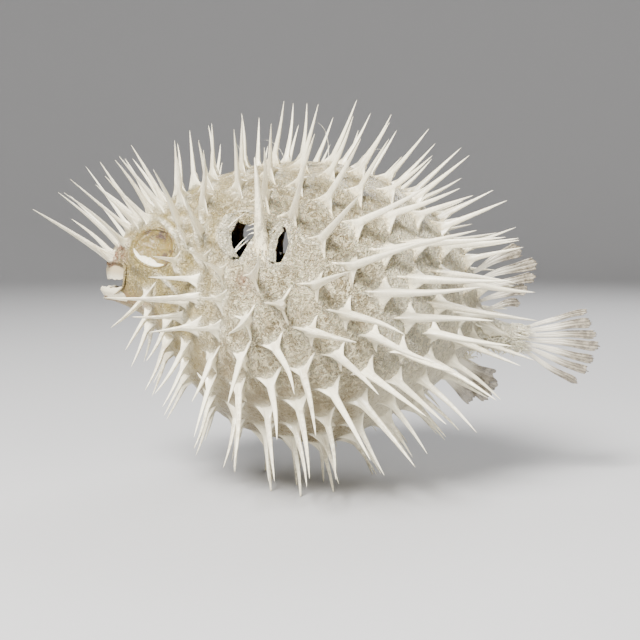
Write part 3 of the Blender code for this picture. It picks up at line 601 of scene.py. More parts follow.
def plan_spines():
    """Arrays of all spines: foot, axes of the skin there, direction, tip and distance to the next one."""
    sites = np.array(spine_sites())
    number = np.arange(len(sites))
    s, angle, length = sites.T
    outward, tail, round_body = skin_axes(s, angle)
    foot = skin_point(s, angle)
    lean = np.array([spine_lean(a, b) for a, b in zip(s, angle)])
    droop = np.zeros(len(sites))
    cheek = slice(-1 - 2 * len(CHEEK_SPINES), -1)
    lean[cheek] = np.repeat([row[3] for row in CHEEK_SPINES], 2)
    droop[cheek] = np.repeat([row[4] for row in CHEEK_SPINES], 2) * np.sign(angle[cheek])
    lean += SCATTER * scatter(number, 1)
    droop += SCATTER * scatter(number, 2)
    direction = unit(outward + tail * lean[:, None] + round_body * droop[:, None])
    direction[-1] = unit(outward[-1] - round_body[-1] * UPRIGHT_LEAN - tail[-1] * UPRIGHT_FORWARD)
    length = length * (1.0 + LENGTH_SCATTER * scatter(number, 3))
    height = to_world(foot + direction * length[:, None])[:, 2] / MM
    fall = (to_world(foot)[:, 2] - to_world(foot + direction)[:, 2]) / MM
    stands = np.abs(height) < FOOT_REACH_MM
    length = np.where(stands, length + height / np.where(stands, fall, 1.0), length)
    gaps = np.linalg.norm(foot[:, None] - foot[None], axis=2) + np.eye(len(foot)) * FAR_MM
    return SimpleNamespace(
        number=number, s=s, angle=angle, outward=outward, tail=tail, round_body=round_body, foot=foot,
        direction=direction, length=length, tip=foot + direction * length[:, None], stands=stands,
        gap=np.minimum(gaps.min(axis=1), WIDEST_GAP_MM),
    )


SPINES = plan_spines()


# Openings ---------------------------------------------------------------------
def outline_on_skin(corners, side, steps=14):
    """A closed smooth outline of (station, angle) points through the corners, on one side."""
    corners = np.array(corners, float)
    points = []
    for i in range(len(corners)):
        p0, p1, p2, p3 = (corners[(i + k) % len(corners)] for k in (-1, 0, 1, 2))
        for t in np.arange(steps) / steps:
            points.append(0.5 * (
                2 * p1 + (p2 - p0) * t + (2 * p0 - 5 * p1 + 4 * p2 - p3) * t * t
                + (3 * p1 - p0 - 3 * p2 + p3) * t ** 3
            ))
    return np.array(points) * (1.0, side)


def eye_outline(side, count=72):
    """The nearly round outline of an eye, as (station, angle) points."""
    along, around = skin_scales(EYE_S_MM, side * EYE_DEG)
    turn = np.arange(count) * 2.0 * math.pi / count
    radius = EYE_RADIUS_MM * (1.0 + 0.03 * np.sin(2.0 * turn + 0.6))
    s = EYE_S_MM + radius * np.cos(turn) / along
    return np.stack([s, side * EYE_DEG + radius * np.sin(turn) / around], axis=1)


def hole_outlines():
    """Outlines of all openings, each with the height of its rim and how white that is."""
    holes = []
    for side, _ in SIDES:
        holes.append((eye_outline(side), 0.0, 0.0))
        holes.append((outline_on_skin(GILL_OUTLINE, side), *GILL_RIM))
        holes.append((outline_on_skin(FIN_HOLE_OUTLINE, side), *FIN_HOLE_RIM))
    return holes


HOLES = hole_outlines()


def hole_distance(s, angle, outline):
    """Distance to an outline in millimetres, negative inside it, and the nearest point of it."""
    middle = outline.mean(axis=0)
    scale = np.array(skin_scales(*middle))
    spots = np.stack([np.ravel(s), np.ravel(angle)], axis=1) * scale
    ring = outline * scale
    distance = np.full(len(spots), FAR_MM)
    nearest = spots.copy()
    close = np.abs(spots - middle * scale).max(axis=1) < HOLE_AREA_MM
    if close.any():
        gaps = np.linalg.norm(spots[close][:, None] - ring[None], axis=2)
        inside = np.zeros(close.sum(), bool)
        x, y = spots[close].T
        for a, b in zip(ring, np.roll(ring, -1, axis=0)):
            crosses = (a[1] > y) != (b[1] > y)
            edge = a[0] + (y - a[1]) * (b[0] - a[0]) / (b[1] - a[1] if b[1] != a[1] else TINY)
            inside ^= crosses & (x < edge)
        distance[close] = np.where(inside, -1.0, 1.0) * gaps.min(axis=1)
        nearest[close] = ring[gaps.argmin(axis=1)]
    shape = np.shape(s)
    return distance.reshape(shape), (nearest / scale).reshape(shape + (2,))


# Relief of the skin -----------------------------------------------------------
def crumple_zone(s, angle):
    """How crumpled and papery the skin is: most on the upper flanks, least on the head and belly."""
    side = from_back(angle)
    papery = bump(s, 46.0, 92.0, 9.0) * bump(side, 38.0, 104.0, 18.0)
    between_openings = bump(s, 44.3, 47.5, 2.0) * bump(side, 52.0, 74.0, 6.0)
    low = ease(side, 98.0, 134.0)
    return np.clip(0.36 + 0.64 * papery - 0.35 * between_openings - 0.29 * low, 0.05, 1.0)


def fatty_zone(s, angle):
    """How yellowish the skin is: most on the head, a little along the back."""
    head = 1.0 - ease(s, 24.0, 44.0)
    back = (1.0 - ease(from_back(angle), 24.0, 60.0)) * (1.0 - ease(s, 100.0, 112.0))
    return np.maximum(0.9 * head, 0.45 * back)


def stain_zone(s, angle):
    """Brownish traces: the lips, the chin and a spot below the gill opening."""
    total = np.zeros(np.shape(s))
    for spot_s, spot_angle, length, width, amount in STAINS:
        total += amount * bell(s, spot_s, length) * bell(np.abs(angle), spot_angle, width)
    return np.clip(total, 0.0, 1.0)


def zone_sum(base, shares):
    """For every spine, a base value with each zone's share added as far as the spine is in it."""
    side = np.abs(SPINES.angle)
    zones = {
        "forehead": (1.0 - ease(SPINES.s, 18.0, 34.0)) * (1.0 - ease(side, 42.0, 70.0)),
        "flat_back": (1.0 - ease(side, 34.0, 58.0)) * bump(SPINES.s, 36.0, 80.0, 10.0),
        "upper": 1.0 - ease(side, 70.0, 105.0),
        "middle": bump(SPINES.s, 38.0, 70.0, 12.0) * bump(side, 56.0, 180.0, 10.0),
        "low": ease(side, 104.0, 128.0),
        "rear": ease(SPINES.s, 78.0, 98.0),
    }
    return base + sum(share * zones[name] for name, share in shares.items())


def root_ridges(apart, away):
    """How far each point lies on a ridge that a root raises, for every spine."""
    along = (apart * SPINES.tail).sum(axis=2)
    around = (apart * SPINES.round_body).sum(axis=2)
    ridge = np.zeros_like(away)
    for turn in np.radians(ROOT_HEADINGS_DEG):
        out = along * math.cos(turn) + around * math.sin(turn)
        across = around * math.cos(turn) - along * math.sin(turn)
        fade = np.clip(1.0 - out / (RIDGE_REACH * SPINES.gap), 0.0, 1.0) ** 1.3 * (out > -0.3)
        ridge = np.maximum(ridge, fade * bell(across, 0.0, RIDGE_HALF_MM))
    return np.where(away < RIDGE_AREA_MM, ridge, 0.0)


def tents_and_ridges(points):
    """Height of the tents and ridges round the spines at each point, and how bony they are."""
    settings = bpy.context.scene.fish_skin
    rise = settings.tent_share * SPINES.gap * zone_sum(1.0, TENT_ZONES)
    ridge_height = settings.ridge / MM * zone_sum(RIDGE_BASE, RIDGE_ZONES)
    height = np.empty(len(points))
    bone = np.empty(len(points))
    for start in range(0, len(points), POINTS_AT_ONCE):
        part = slice(start, start + POINTS_AT_ONCE)
        apart = points[part][:, None, :] - SPINES.foot[None]
        away = np.linalg.norm(apart, axis=2)
        ridge = root_ridges(apart, away)
        tents = (rise * np.exp(-away / (TENT_REACH * SPINES.gap))).sum(axis=1)
        height[part] = tents + (ridge_height * ridge).max(axis=1)
        white = 0.7 * ridge.max(axis=1) ** 1.3 + 0.55 * bell(away.min(axis=1), 0.0, 2.4)
        bone[part] = np.clip(white, 0.0, 1.0)
    return height - TENT_MEAN_MM, bone


def small_folds(points, s, angle):
    """Height of the crumples all over, and of the pleats of the cheeks."""
    side = np.abs(angle)
    coarse = 0.9 * noise_at(points, 8.0)
    fine = 1.1 * crumple_zone(s, angle) * noise_at(points + 40.0, 2.6, 3)
    cheek = bump(s, 21.0, 33.0, 4.0) * bump(side, 46.0, 118.0, 12.0)
    pleats = np.stack([s * 0.9 + side * 0.12, side * 0.16, np.sign(angle) * 9.0], axis=1)
    crumple = bpy.context.scene.fish_skin.crumple / MM
    return crumple * (coarse + fine) + cheek * (0.45 - 1.5 * np.abs(noise_at(pleats, 3.6)))


def turn_sockets(height, s, angle):
    """Heights with the skin round each eye made smoother and turned more to the side."""
    for side, _ in SIDES:
        along, around = skin_scales(EYE_S_MM, side * EYE_DEG)
        ahead = (EYE_S_MM - s) * along
        away = np.hypot(ahead, (angle - side * EYE_DEG) * around)
        near = 1.0 - ease(away, SOCKET_MM, 12.0)
        height = height * (1.0 - 0.75 * near) + EYE_TURN * np.clip(ahead, -SOCKET_MM, SOCKET_MM) * near
    return height


def head_creases(s, side):
    """For each raised crease of the head, its height and how far each point lies on it."""
    for s0, angle0, s1, angle1, rise, half in CREASES:
        scale = np.array(skin_scales(0.5 * (s0 + s1), 0.5 * (angle0 + angle1)))
        run = np.array([s1 - s0, angle1 - angle0]) * scale
        spot = np.stack([s - s0, side - angle0], axis=1) * scale
        share = spot @ run / (run @ run)
        off = np.linalg.norm(spot - np.clip(share, 0.0, 1.0)[:, None] * run, axis=1)
        yield rise, bell(off, 0.0, half) * (0.25 + 0.75 * np.sin(math.pi * np.clip(share, 0.02, 0.98)))


def opening_rims(s, angle):
    """Height and whiteness of the openings' rims, with rings of wrinkles ahead of them."""
    height = np.zeros(len(s))
    bone = np.zeros(len(s))
    for outline, rim, white in HOLES:
        if rim == 0.0:
            continue
        distance, _ = hole_distance(s, angle, outline)
        middle = outline[:, 0].mean()
        front = (1.0 - ease(s, middle - 1.5, middle + 2.5)) * (distance > -0.5)
        rings = np.cos((distance - 0.6) * 2.0 * math.pi / 2.2) * np.exp(-np.clip(distance, 0.0, 20.0) / 2.6)
        height += rim * bell(distance, 0.5, 0.9) + 0.38 * rings * front
        bone = np.maximum(bone, white * bell(distance, 0.3, 0.8))
    return height, bone


def relief(s, angle):
    """Rise of the real skin over its smooth form, and how bony white it is, from 0 to 1."""
    s, angle = np.broadcast_arrays(np.asarray(s, float), np.asarray(angle, float))
    shape = s.shape
    s = s.ravel()
    angle = angle.ravel()
    points = skin_point(s, angle)
    height, bone = tents_and_ridges(points)
    height = height + small_folds(points, s, angle)
    height *= ease(s, 0.0, 3.5) * (1.0 - 0.75 * ease(s, 110.0, 114.0))
    height = turn_sockets(height, s, angle)
    for rise, crease in head_creases(s, np.abs(angle)):
        height += rise * crease
        bone = np.maximum(bone, crease)
    height -= 0.7 * ease(s, 124.2, STALK_END_MM)
    bone = np.maximum(bone, 0.4 * bump(s, 86.0, 112.0, 12.0))
    rim_height, rim_bone = opening_rims(s, angle)
    return (height + rim_height).reshape(shape), np.maximum(bone, rim_bone).reshape(shape)


def on_skin(s, angle, height=0.0):
    """Points at a height above the wrinkled skin."""
    rise, _ = relief(s, angle)
    outward, _, _ = skin_axes(s, angle)
    return skin_point(s, angle) + outward * (rise + height)[..., None]


# Meshes -----------------------------------------------------------------------
def grid_faces(rows, columns, closed=False):
    """Quads of a grid of points; closed joins the last column to the first."""
    i = np.arange(rows - 1)[:, None] * columns
    j = np.arange(columns if closed else columns - 1)[None]
    k = (j + 1) % columns
    corners = np.broadcast_arrays(i + j, i + k, i + columns + k, i + columns + j)
    return np.stack(corners, axis=-1).reshape(-1, 4)


def new_object(name, data):
    item = bpy.data.objects.new(name, data)
    bpy.context.scene.collection.objects.link(item)
    return item


def add_piece(name, points, faces, material, layers):
    """A smooth mesh object from points in the fish's frame, riding on the body.

    The layers are values for its material, one for each point or one for all.
    """
    mesh = bpy.data.meshes.new(name)
    mesh.from_pydata(to_world(points).tolist(), [], [tuple(int(v) for v in face) for face in faces])
    mesh.update()
    mesh.shade_smooth()
    for key, values in layers.items():
        layer = mesh.attributes.new(key, "FLOAT", "POINT")
        values = np.broadcast_to(np.ravel(values), len(points))
        layer.data.foreach_set("value", values.astype(np.float32))
    item = new_object(name, mesh)
    mesh.materials.append(material)
    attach(item, "root")
    return item


def vertex_normals(points, quads):
    first, second, third, fourth = (points[quads[:, i]] for i in range(4))
    normals = np.cross(third - first, fourth - second)
    total = np.zeros_like(points)
    for i in range(4):
        np.add.at(total, quads[:, i], normals)
    return unit(total)


def sheet_piece(points, thickness):
    """Closed thin sheet from a grid of points: front, back and the four edges."""
    rows, columns = points.shape[:2]
    front = points.reshape(-1, 3)
    quads = grid_faces(rows, columns)
    back = front - vertex_normals(front, quads) * thickness
    count = len(front)
    index = np.arange(count).reshape(rows, columns)
    rim = np.concatenate([index[0], index[1:, -1], index[-1, -2::-1], index[-2:0:-1, 0]])
    after = np.roll(rim, -1)
    faces = [*quads, *(quads[:, ::-1] + count), *np.stack([after, rim, rim + count, after + count], axis=1)]
    return np.concatenate([front, back]), faces


def strand(path, radii, around=8):
    """Closed round strand along a path of points."""
    path = np.asarray(path, float)
    radii = np.broadcast_to(radii, len(path))
    run = unit(np.gradient(path, axis=0))
    guide = np.where(np.abs(run[:, 1:2]) < 0.9, (0.0, 1.0, 0.0), (1.0, 0.0, 0.0))
    across = unit(np.cross(run, guide))
    beside = np.cross(run, across)
    turn = np.arange(around) * 2.0 * math.pi / around
    ring = across[:, None] * np.cos(turn)[None, :, None] + beside[:, None] * np.sin(turn)[None, :, None]
    points = (path[:, None] + ring * radii[:, None, None]).reshape(-1, 3)
    faces = [*grid_faces(len(path), around, closed=True)]
    faces += [tuple(range(around)), tuple(range(len(points) - 1, len(points) - 1 - around, -1))]
    return points, faces


def join(parts):
    """One list of points and one of faces from several."""
    points = []
    faces = []
    count = 0
    for part_points, part_faces in parts:
        faces += [tuple(int(v) + count for v in face) for face in part_faces]
        points.append(np.asarray(part_points).reshape(-1, 3))
        count += len(points[-1])
    return np.concatenate(points), faces


# Materials --------------------------------------------------------------------
def put(tree, kind, inputs=None, **settings):
    """A node with its settings made and its inputs set or linked."""
    node = tree.nodes.new(kind)
    for key, value in settings.items():
        setattr(node, key, value)
    for key, value in (inputs or {}).items():
        socket = node.inputs[key]
        if isinstance(value, bpy.types.NodeSocket):
            tree.links.new(value, socket)
        else:
            socket.default_value = value
    return node


def maths(tree, operation, *values, clamp=False):
    node = put(tree, "ShaderNodeMath", dict(enumerate(values)), operation=operation, use_clamp=clamp)
    return node.outputs[0]


def times(tree, first, second, clamp=False):
    return maths(tree, "MULTIPLY", first, second, clamp=clamp)


def plus(tree, first, second, clamp=False):
    return maths(tree, "ADD", first, second, clamp=clamp)


def mix_colour(tree, factor, first, second):
    """From the first colour at factor 0 to the second at 1."""
    node = put(tree, "ShaderNodeMix", dict(zip(MIX_INPUTS, (factor, first, second))), data_type="RGBA")
    return node.outputs[MIX_OUTPUT]


def stretch(tree, value, low, high, to_low=0.0, to_high=1.0):
    settings = {"Value": value, "From Min": low, "From Max": high, "To Min": to_low, "To Max": to_high}
    return put(tree, "ShaderNodeMapRange", settings, interpolation_type="SMOOTHSTEP").outputs[0]


def noise_node(tree, vector, scale, detail=3.0, rough=0.55, output="Fac"):
    settings = {"Vector": vector, "Scale": scale, "Detail": detail, "Roughness": rough}
    return put(tree, "ShaderNodeTexNoise", settings).outputs[output]


def make_group(name, inputs, outputs):
    """An empty node group with its sockets, and its input and output nodes."""
    group = bpy.data.node_groups.new(name, "ShaderNodeTree")
    for way, sockets in (("INPUT", inputs), ("OUTPUT", outputs)):
        for kind, keys in sockets.items():
            for key in keys:
                group.interface.new_socket(key, in_out=way, socket_type="NodeSocket" + kind)
    source = group.nodes.new("NodeGroupInput")
    sink = group.nodes.new("NodeGroupOutput")
    return group, source.outputs, sink.inputs


def ridges(tree, vector, scale, detail, sharp):
    """Thin raised lines: highest where a noise crosses its middle value."""
    middle = maths(tree, "SUBTRACT", noise_node(tree, vector, scale, detail, 0.6), 0.5)
    off = times(tree, maths(tree, "ABSOLUTE", middle), sharp, clamp=True)
    return maths(tree, "SUBTRACT", 1.0, off)


def paper_folds():
    """Sharp little folds of crumpled dry skin: a height and a mask of its raised creases."""
    if "paper_folds" in bpy.data.node_groups:
        return bpy.data.node_groups["paper_folds"]
    group, given, result = make_group(
        "paper_folds", {"Vector": ["Vector"], "Float": ["Crumple"]}, {"Float": ["Height", "Crease"]}
    )
    place = given["Vector"]
    warp = noise_node(group, place, 300.0, 4.0, 0.6, "Color")
    shift = put(group, "ShaderNodeVectorMath", {0: warp, "Scale": 0.005}, operation="SCALE").outputs[0]
    moved = put(group, "ShaderNodeVectorMath", {0: place, 1: shift}, operation="ADD").outputs[0]
    slant = {"Vector": moved, "Rotation": (0.0, 0.7, 0.0), "Scale": (1.0, 1.0, 0.45)}
    folds = ridges(group, put(group, "ShaderNodeMapping", slant).outputs[0], 470.0, 1.0, 11.0)
    crinkle = ridges(group, moved, 800.0, 1.5, 10.0)
    patches = stretch(group, noise_node(group, place, 160.0), 0.35, 0.62, 0.45, 1.0)
    soft = noise_node(group, place, 330.0)
    grain = noise_node(group, place, 2300.0, 2.0)
    lines = plus(group, times(group, folds, 0.55), times(group, crinkle, 0.45))
    lines = times(group, lines, patches)
    deep = times(group, lines, times(group, given["Crumple"], 1.7))
    height = plus(group, deep, times(group, soft, 0.4))
    height = plus(group, height, times(group, grain, 0.1))
    group.links.new(height, result["Height"])
    group.links.new(stretch(group, lines, 0.12, 0.62), result["Crease"])
    return group


def dried_hide():
    """Colour, roughness and height of the dried skin, from tan and thin to papery and bony white, with
    painted highlight on raised creases and painted shade in the pits between.
    """
    if "dried_hide" in bpy.data.node_groups:
        return bpy.data.node_groups["dried_hide"]
    inputs = {
        "Vector": ["Vector"],
        "Float": ["Crumple", "Bone", "Fat", "Stain"],
        "Color": ["Paper", "Tan", "Cream", "White", "Stain Colour"],
    }
    outputs = {"Color": ["Colour"], "Float": ["Roughness", "Height"]}
    group, given, result = make_group("dried_hide", inputs, outputs)
    place = given["Vector"]
    crumple = given["Crumple"]
    folding = {"Vector": place, "Crumple": crumple}
    folds = put(group, "ShaderNodeGroup", folding, node_tree=paper_folds()).outputs
    clouds = stretch(group, noise_node(group, place, 120.0, 4.0, 0.6), 0.32, 0.68)
    specks = noise_node(group, place, 900.0, 3.0, 0.6)
    # Raised creases are painted toward paper as painted highlight, and the pits stay tan as painted shade,
    # over the skin's own papery zones and mottling.
    papery = times(group, times(group, folds["Crease"], crumple), 2.1)
    mottled = plus(group, times(group, clouds, 0.2), times(group, stretch(group, specks, 0.35, 0.7), 0.12))
    mottled = times(group, mottled, stretch(group, crumple, 0.05, 0.45, 0.25, 1.2))
    papery = plus(group, papery, mottled, clamp=True)
    colour = mix_colour(group, papery, given["Tan"], given["Paper"])
    fatty = times(group, given["Fat"], stretch(group, clouds, 0.0, 1.0, 0.5, 1.0))
    colour = mix_colour(group, fatty, colour, given["Cream"])
    bony = times(group, given["Bone"], stretch(group, specks, 0.2, 0.5, 0.75, 1.0))
    colour = mix_colour(group, bony, colour, given["White"])
    patchy = times(group, given["Stain"], stretch(group, specks, 0.3, 0.62), clamp=True)
    colour = mix_colour(group, patchy, colour, given["Stain Colour"])
    rough = plus(group, 0.24, times(group, stretch(group, specks, 0.3, 0.7), 0.16))
    group.links.new(colour, result["Colour"])
    group.links.new(rough, result["Roughness"])
    group.links.new(folds["Height"], result["Height"])
    return group


def fine_streaks():
    """Fine lines that run along a spine, a ray or a plate."""
    if "fine_streaks" in bpy.data.node_groups:
        return bpy.data.node_groups["fine_streaks"]
    inputs = {"Float": list(STREAK_LAYERS)}
    group, given, result = make_group("fine_streaks", inputs, {"Float": ["Streak", "Height"]})
    along = times(group, given["Along"], 2.2)
    place = put(group, "ShaderNodeCombineXYZ", {0: along, 1: given["Across"], 2: given["Tone"]}).outputs[0]
    coarse = noise_node(group, place, 3.5)
    fine = noise_node(group, place, 11.0, 2.0)
    total = plus(group, times(group, coarse, 0.6), times(group, fine, 0.4))
    group.links.new(stretch(group, total, 0.38, 0.62), result["Streak"])
    group.links.new(total, result["Height"])
    return group


def new_material(name):
    material = bpy.data.materials.new(name)
    material.use_nodes = True
    return material, material.node_tree, material.node_tree.nodes["Principled BSDF"]


def set_constants(shader, values):
    """Values that are the same all over the surface, on the shader's own sockets."""
    for key, value in values.items():
        shader.inputs[key].default_value = value


def attribute(tree, name):
    return put(tree, "ShaderNodeAttribute", attribute_name=name).outputs["Fac"]


def object_place(tree):
    return put(tree, "ShaderNodeTexCoord").outputs["Object"]


def add_bump(tree, shader, height, depth_mm, strength=1.0):
    settings = {"Height": height, "Distance": depth_mm * MM, "Strength": strength}
    tree.links.new(put(tree, "ShaderNodeBump", settings).outputs[0], shader.inputs["Normal"])


def place_hide(tree, *layers):
    """The dried-hide group in a material, with the skin's colours and the mesh's values."""
    skin = bpy.context.scene.fish_skin
    inputs = {
        "Vector": object_place(tree), "Paper": skin.paper, "Tan": skin.tan, "Cream": skin.cream,
        "White": bpy.context.scene.fish_spines.white, "Stain Colour": skin.stain,
    }
    inputs.update({layer.title(): attribute(tree, layer) for layer in layers})
    return put(tree, "ShaderNodeGroup", inputs, node_tree=dried_hide()).outputs


def place_streaks(tree, *keys):
    """The streaks' group in a material, with the mesh's values."""
    inputs = {key: attribute(tree, STREAK_LAYERS[key]) for key in keys}
    return put(tree, "ShaderNodeGroup", inputs, node_tree=fine_streaks()).outputs


def skin_material():
    if "dried_skin_hide" in bpy.data.materials:
        return bpy.data.materials["dried_skin_hide"]
    material, tree, shader = new_material("dried_skin_hide")
    hide = place_hide(tree, "bone", "fat", "crumple", "stain")
    # The inner surface is painted near black, as painted shade of the hollow body.
    inside_shade = bpy.context.scene.fish_skin.inside_shade
    colour = mix_colour(tree, attribute(tree, "inside"), hide["Colour"], inside_shade)
    tree.links.new(colour, shader.inputs["Base Color"])
    tree.links.new(hide["Roughness"], shader.inputs["Roughness"])
    add_bump(tree, shader, hide["Height"], 2.5)
    set_constants(shader, {
        "Subsurface Weight": 0.08, "Subsurface Radius": (1.0, 0.75, 0.45), "Subsurface Scale": 0.0006,
    })
    return material


def spine_material():
    """White enamel with greyish streaks, partly the enamel's own streaks and partly painted shade, and the
    skin's own finish where the roots run into it.
    """
    material, tree, shader = new_material("spine_enamel")
    spines = bpy.context.scene.fish_spines
    hide = place_hide(tree, "bone", "fat", "crumple")
    streaks = place_streaks(tree, "Along", "Across", "Tone")
    # Streaks toward the shade colour: partly the enamel's own random tone, partly painted shade on the
    # shafts.
    grey = stretch(tree, attribute(tree, "tone"), 0.0, 14.0, 0.25, 0.8)
    enamel = mix_colour(tree, times(tree, streaks["Streak"], grey), spines.white, spines.shade)
    colour = mix_colour(tree, attribute(tree, "shaft"), hide["Colour"], enamel)
    tree.links.new(colour, shader.inputs["Base Color"])
    add_bump(tree, shader, streaks["Height"], 0.12, 0.6)
    set_constants(shader, {
        "Roughness": 0.3, "Coat Weight": 0.2, "Coat Roughness": 0.25,
        "Subsurface Weight": 0.05, "Subsurface Radius": (1.0, 0.85, 0.6), "Subsurface Scale": 0.0006,
    })
    return material


def eye_material():
    material, tree, shader = new_material("dried_eye_membrane")
    eyes = bpy.context.scene.fish_eyes
    place = object_place(tree)
    folding = {"Vector": place, "Crumple": 0.35}
    folds = put(tree, "ShaderNodeGroup", folding, node_tree=paper_folds()).outputs
    clouds = stretch(tree, noise_node(tree, place, 520.0, 4.0, 0.65), 0.40, 0.60)
    traces = times(tree, clouds, attribute(tree, "trace"), clamp=True)
    colour = mix_colour(tree, traces, eyes.membrane, eyes.mottle)
    colour = mix_colour(tree, attribute(tree, "lid"), colour, eyes.lid)
    tree.links.new(colour, shader.inputs["Base Color"])
    add_bump(tree, shader, folds["Height"], 0.3)
    set_constants(shader, {"Roughness": 0.42, "Subsurface Weight": 0.15, "Subsurface Scale": 0.001})
    return material


def beak_material(name, share):
    """Enamel that is worn pale toward the cutting edge, and all over by the given share."""
    material, tree, shader = new_material(name)
    beak = bpy.context.scene.fish_beak
    streaks = place_streaks(tree, "Along", "Across")
    worn = stretch(tree, attribute(tree, "along"), 0.45, 1.0, share, 1.0)
    colour = mix_colour(tree, worn, beak.enamel, beak.edge)
    colour = mix_colour(tree, times(tree, streaks["Streak"], 0.35), colour, beak.enamel)
    tree.links.new(colour, shader.inputs["Base Color"])
    add_bump(tree, shader, streaks["Height"], 0.15, 0.7)
    set_constants(shader, {"Roughness": 0.33, "Coat Weight": 0.15})
    return material


def fin_material():
    """Pale rays that turn into blotched, half transparent skin toward their ends."""
    if "dried_fin_ray" in bpy.data.materials:
        return bpy.data.materials["dried_fin_ray"]
    material, tree, shader = new_material("dried_fin_ray")
    fins = bpy.context.scene.fish_fins
    streaks = place_streaks(tree, "Along", "Across", "Tone")
    clear = stretch(tree, attribute(tree, "clear"), 0.0, 0.6)
    blotch = stretch(tree, noise_node(tree, object_place(tree), 700.0, 4.0, 0.6), 0.4, 0.65)
    thin = stretch(tree, clear, 0.0, 1.0, 0.7, 0.2)
    colour = mix_colour(tree, clear, fins.ray, fins.membrane)
    colour = mix_colour(tree, times(tree, streaks["Streak"], thin), colour, fins.ray)
    colour = mix_colour(tree, times(tree, blotch, clear), colour, fins.blotch)
    tree.links.new(colour, shader.inputs["Base Color"])
    solid = maths(tree, "SUBTRACT", 1.0, times(tree, clear, 0.4))
    solid = plus(tree, solid, times(tree, streaks["Streak"], 0.2), clamp=True)
    tree.links.new(solid, shader.inputs["Alpha"])
    add_bump(tree, shader, streaks["Height"], 0.2, 0.8)
    set_constants(shader, {"Roughness": 0.3, "Coat Weight": 0.2})
    return material


def floor_material(colour):
    material, tree, shader = new_material("plain_floor")
    cloud = stretch(tree, noise_node(tree, object_place(tree), 260.0), 0.3, 0.7, 0.0, 0.05)
    tree.links.new(mix_colour(tree, cloud, colour, MIDDLE_GREY), shader.inputs["Base Color"])
    set_constants(shader, {"Roughness": 0.75})
    return material


# Skin -------------------------------------------------------------------------
def skin_front(angle):
    """Station at which the skin starts: drawn back at the corners of the mouth."""
    return FRONT_MM + (CORNER_MM - FRONT_MM) * plateau(from_back(angle), *MOUTH_DEG)


def skin_stations(step, samples=2400):
    """Stations that are evenly spaced on the skin, also where it turns steeply inward."""
    s = np.linspace(FRONT_MM, STALK_END_MM, samples)
    radius = 0.5 * (TOP(s) - BOTTOM(s))
    arc = np.concatenate([[0.0], np.cumsum(np.hypot(np.diff(s), np.diff(radius)))])
    return np.interp(np.linspace(0.0, arc[-1], int(arc[-1] / step) + 1), arc, s)


def skin_grid(step):
    """Stations and angles of the skin's points, drawn back at the mouth."""
    stations = skin_stations(step)[:, None]
    columns = int(2.0 * math.pi * HALF_WIDTH(WIDEST_S_MM) / step)
    angles = np.arange(columns) * 360.0 / columns - 180.0
    drawn_back = (skin_front(angles) - FRONT_MM) * np.clip(1.0 - stations / MOUTH_REACH_MM, 0.0, 1.0)
    return stations + drawn_back, np.broadcast_to(angles, (len(stations), columns)).copy()


def cut_openings(s, angle, inside_shade):
    """Faces of the skin without those in the openings.

    Points at their edges move onto the outlines, and the painted shade of the inside fades out toward them.
    """
    quads = grid_faces(*s.shape, closed=True)
    kept = np.ones(len(quads), bool)
    for outline, _, _ in HOLES:
        distance, nearest = hole_distance(s, angle, outline)
        inside = distance < 0.0
        gone = inside.ravel()[quads].all(axis=1)
        edge = np.zeros(s.size, bool)
        edge[quads[~gone].ravel()] = True
        snap = inside & edge.reshape(s.shape)
        s[snap] = nearest[..., 0][snap]
        angle[snap] = nearest[..., 1][snap]
        kept &= ~gone
        inside_shade *= ease(distance, 0.3, 1.8)
    return quads[kept]


def open_edges(quads, count):
    """Edges that only one quad has, in the direction in which that quad runs."""
    edges = np.concatenate([quads[:, [i, (i + 1) % 4]] for i in range(4)])
    keys = edges.min(axis=1) * count + edges.max(axis=1)
    _, first, seen = np.unique(keys, return_index=True, return_counts=True)
    return edges[first[seen == 1]]


def make_skin():
    """Outer and inner surface of the skin, joined round the mouth and the openings."""
    settings = bpy.context.scene.fish_skin
    s, angle = skin_grid(settings.grid / MM)
    # Mask of the painted shade on the inner surface: it fades out at the mouth's edge and on the tail
    # stalk.
    inside_shade = ease(s - skin_front(angle), 0.3, 2.0) * (1.0 - ease(s, 112.0, 117.0))
    quads = cut_openings(s, angle, inside_shade)
    height, bone = relief(s, angle)
    outward, _, _ = skin_axes(s, angle)
    outer = (skin_point(s, angle) + outward * height[..., None]).reshape(-1, 3)
    normals = vertex_normals(outer, quads)
    if (normals * outward.reshape(-1, 3)).sum() < 0.0:
        normals = -normals
        quads = quads[:, ::-1]
    inner = outer - normals * (settings.thickness / MM)
    count = s.size
    rim = open_edges(quads, count)
    walls = np.stack([rim[:, 1], rim[:, 0], rim[:, 0] + count, rim[:, 1] + count], axis=1)
    faces = np.concatenate([quads, quads[:, ::-1] + count, walls])
    used = np.zeros(2 * count, bool)
    used[faces.ravel()] = True
    renumber = np.cumsum(used) - 1
    on_both = {
        "bone": np.maximum(bone, 0.7 * ease(s, 111.0, 117.0)),
        "crumple": crumple_zone(s, angle),
        "fat": fatty_zone(s, angle),
        "stain": stain_zone(s, angle),
    }
    layers = {key: np.tile(values.ravel(), 2)[used] for key, values in on_both.items()}
    layers["inside"] = np.concatenate([np.zeros(count), inside_shade.ravel()])[used]
    points = np.concatenate([outer, inner])[used]
    skin = add_piece("skin", points, renumber[faces], skin_material(), layers)
    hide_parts(*SKIN_NODES)
    lay_skin_map(skin, s.shape, used)


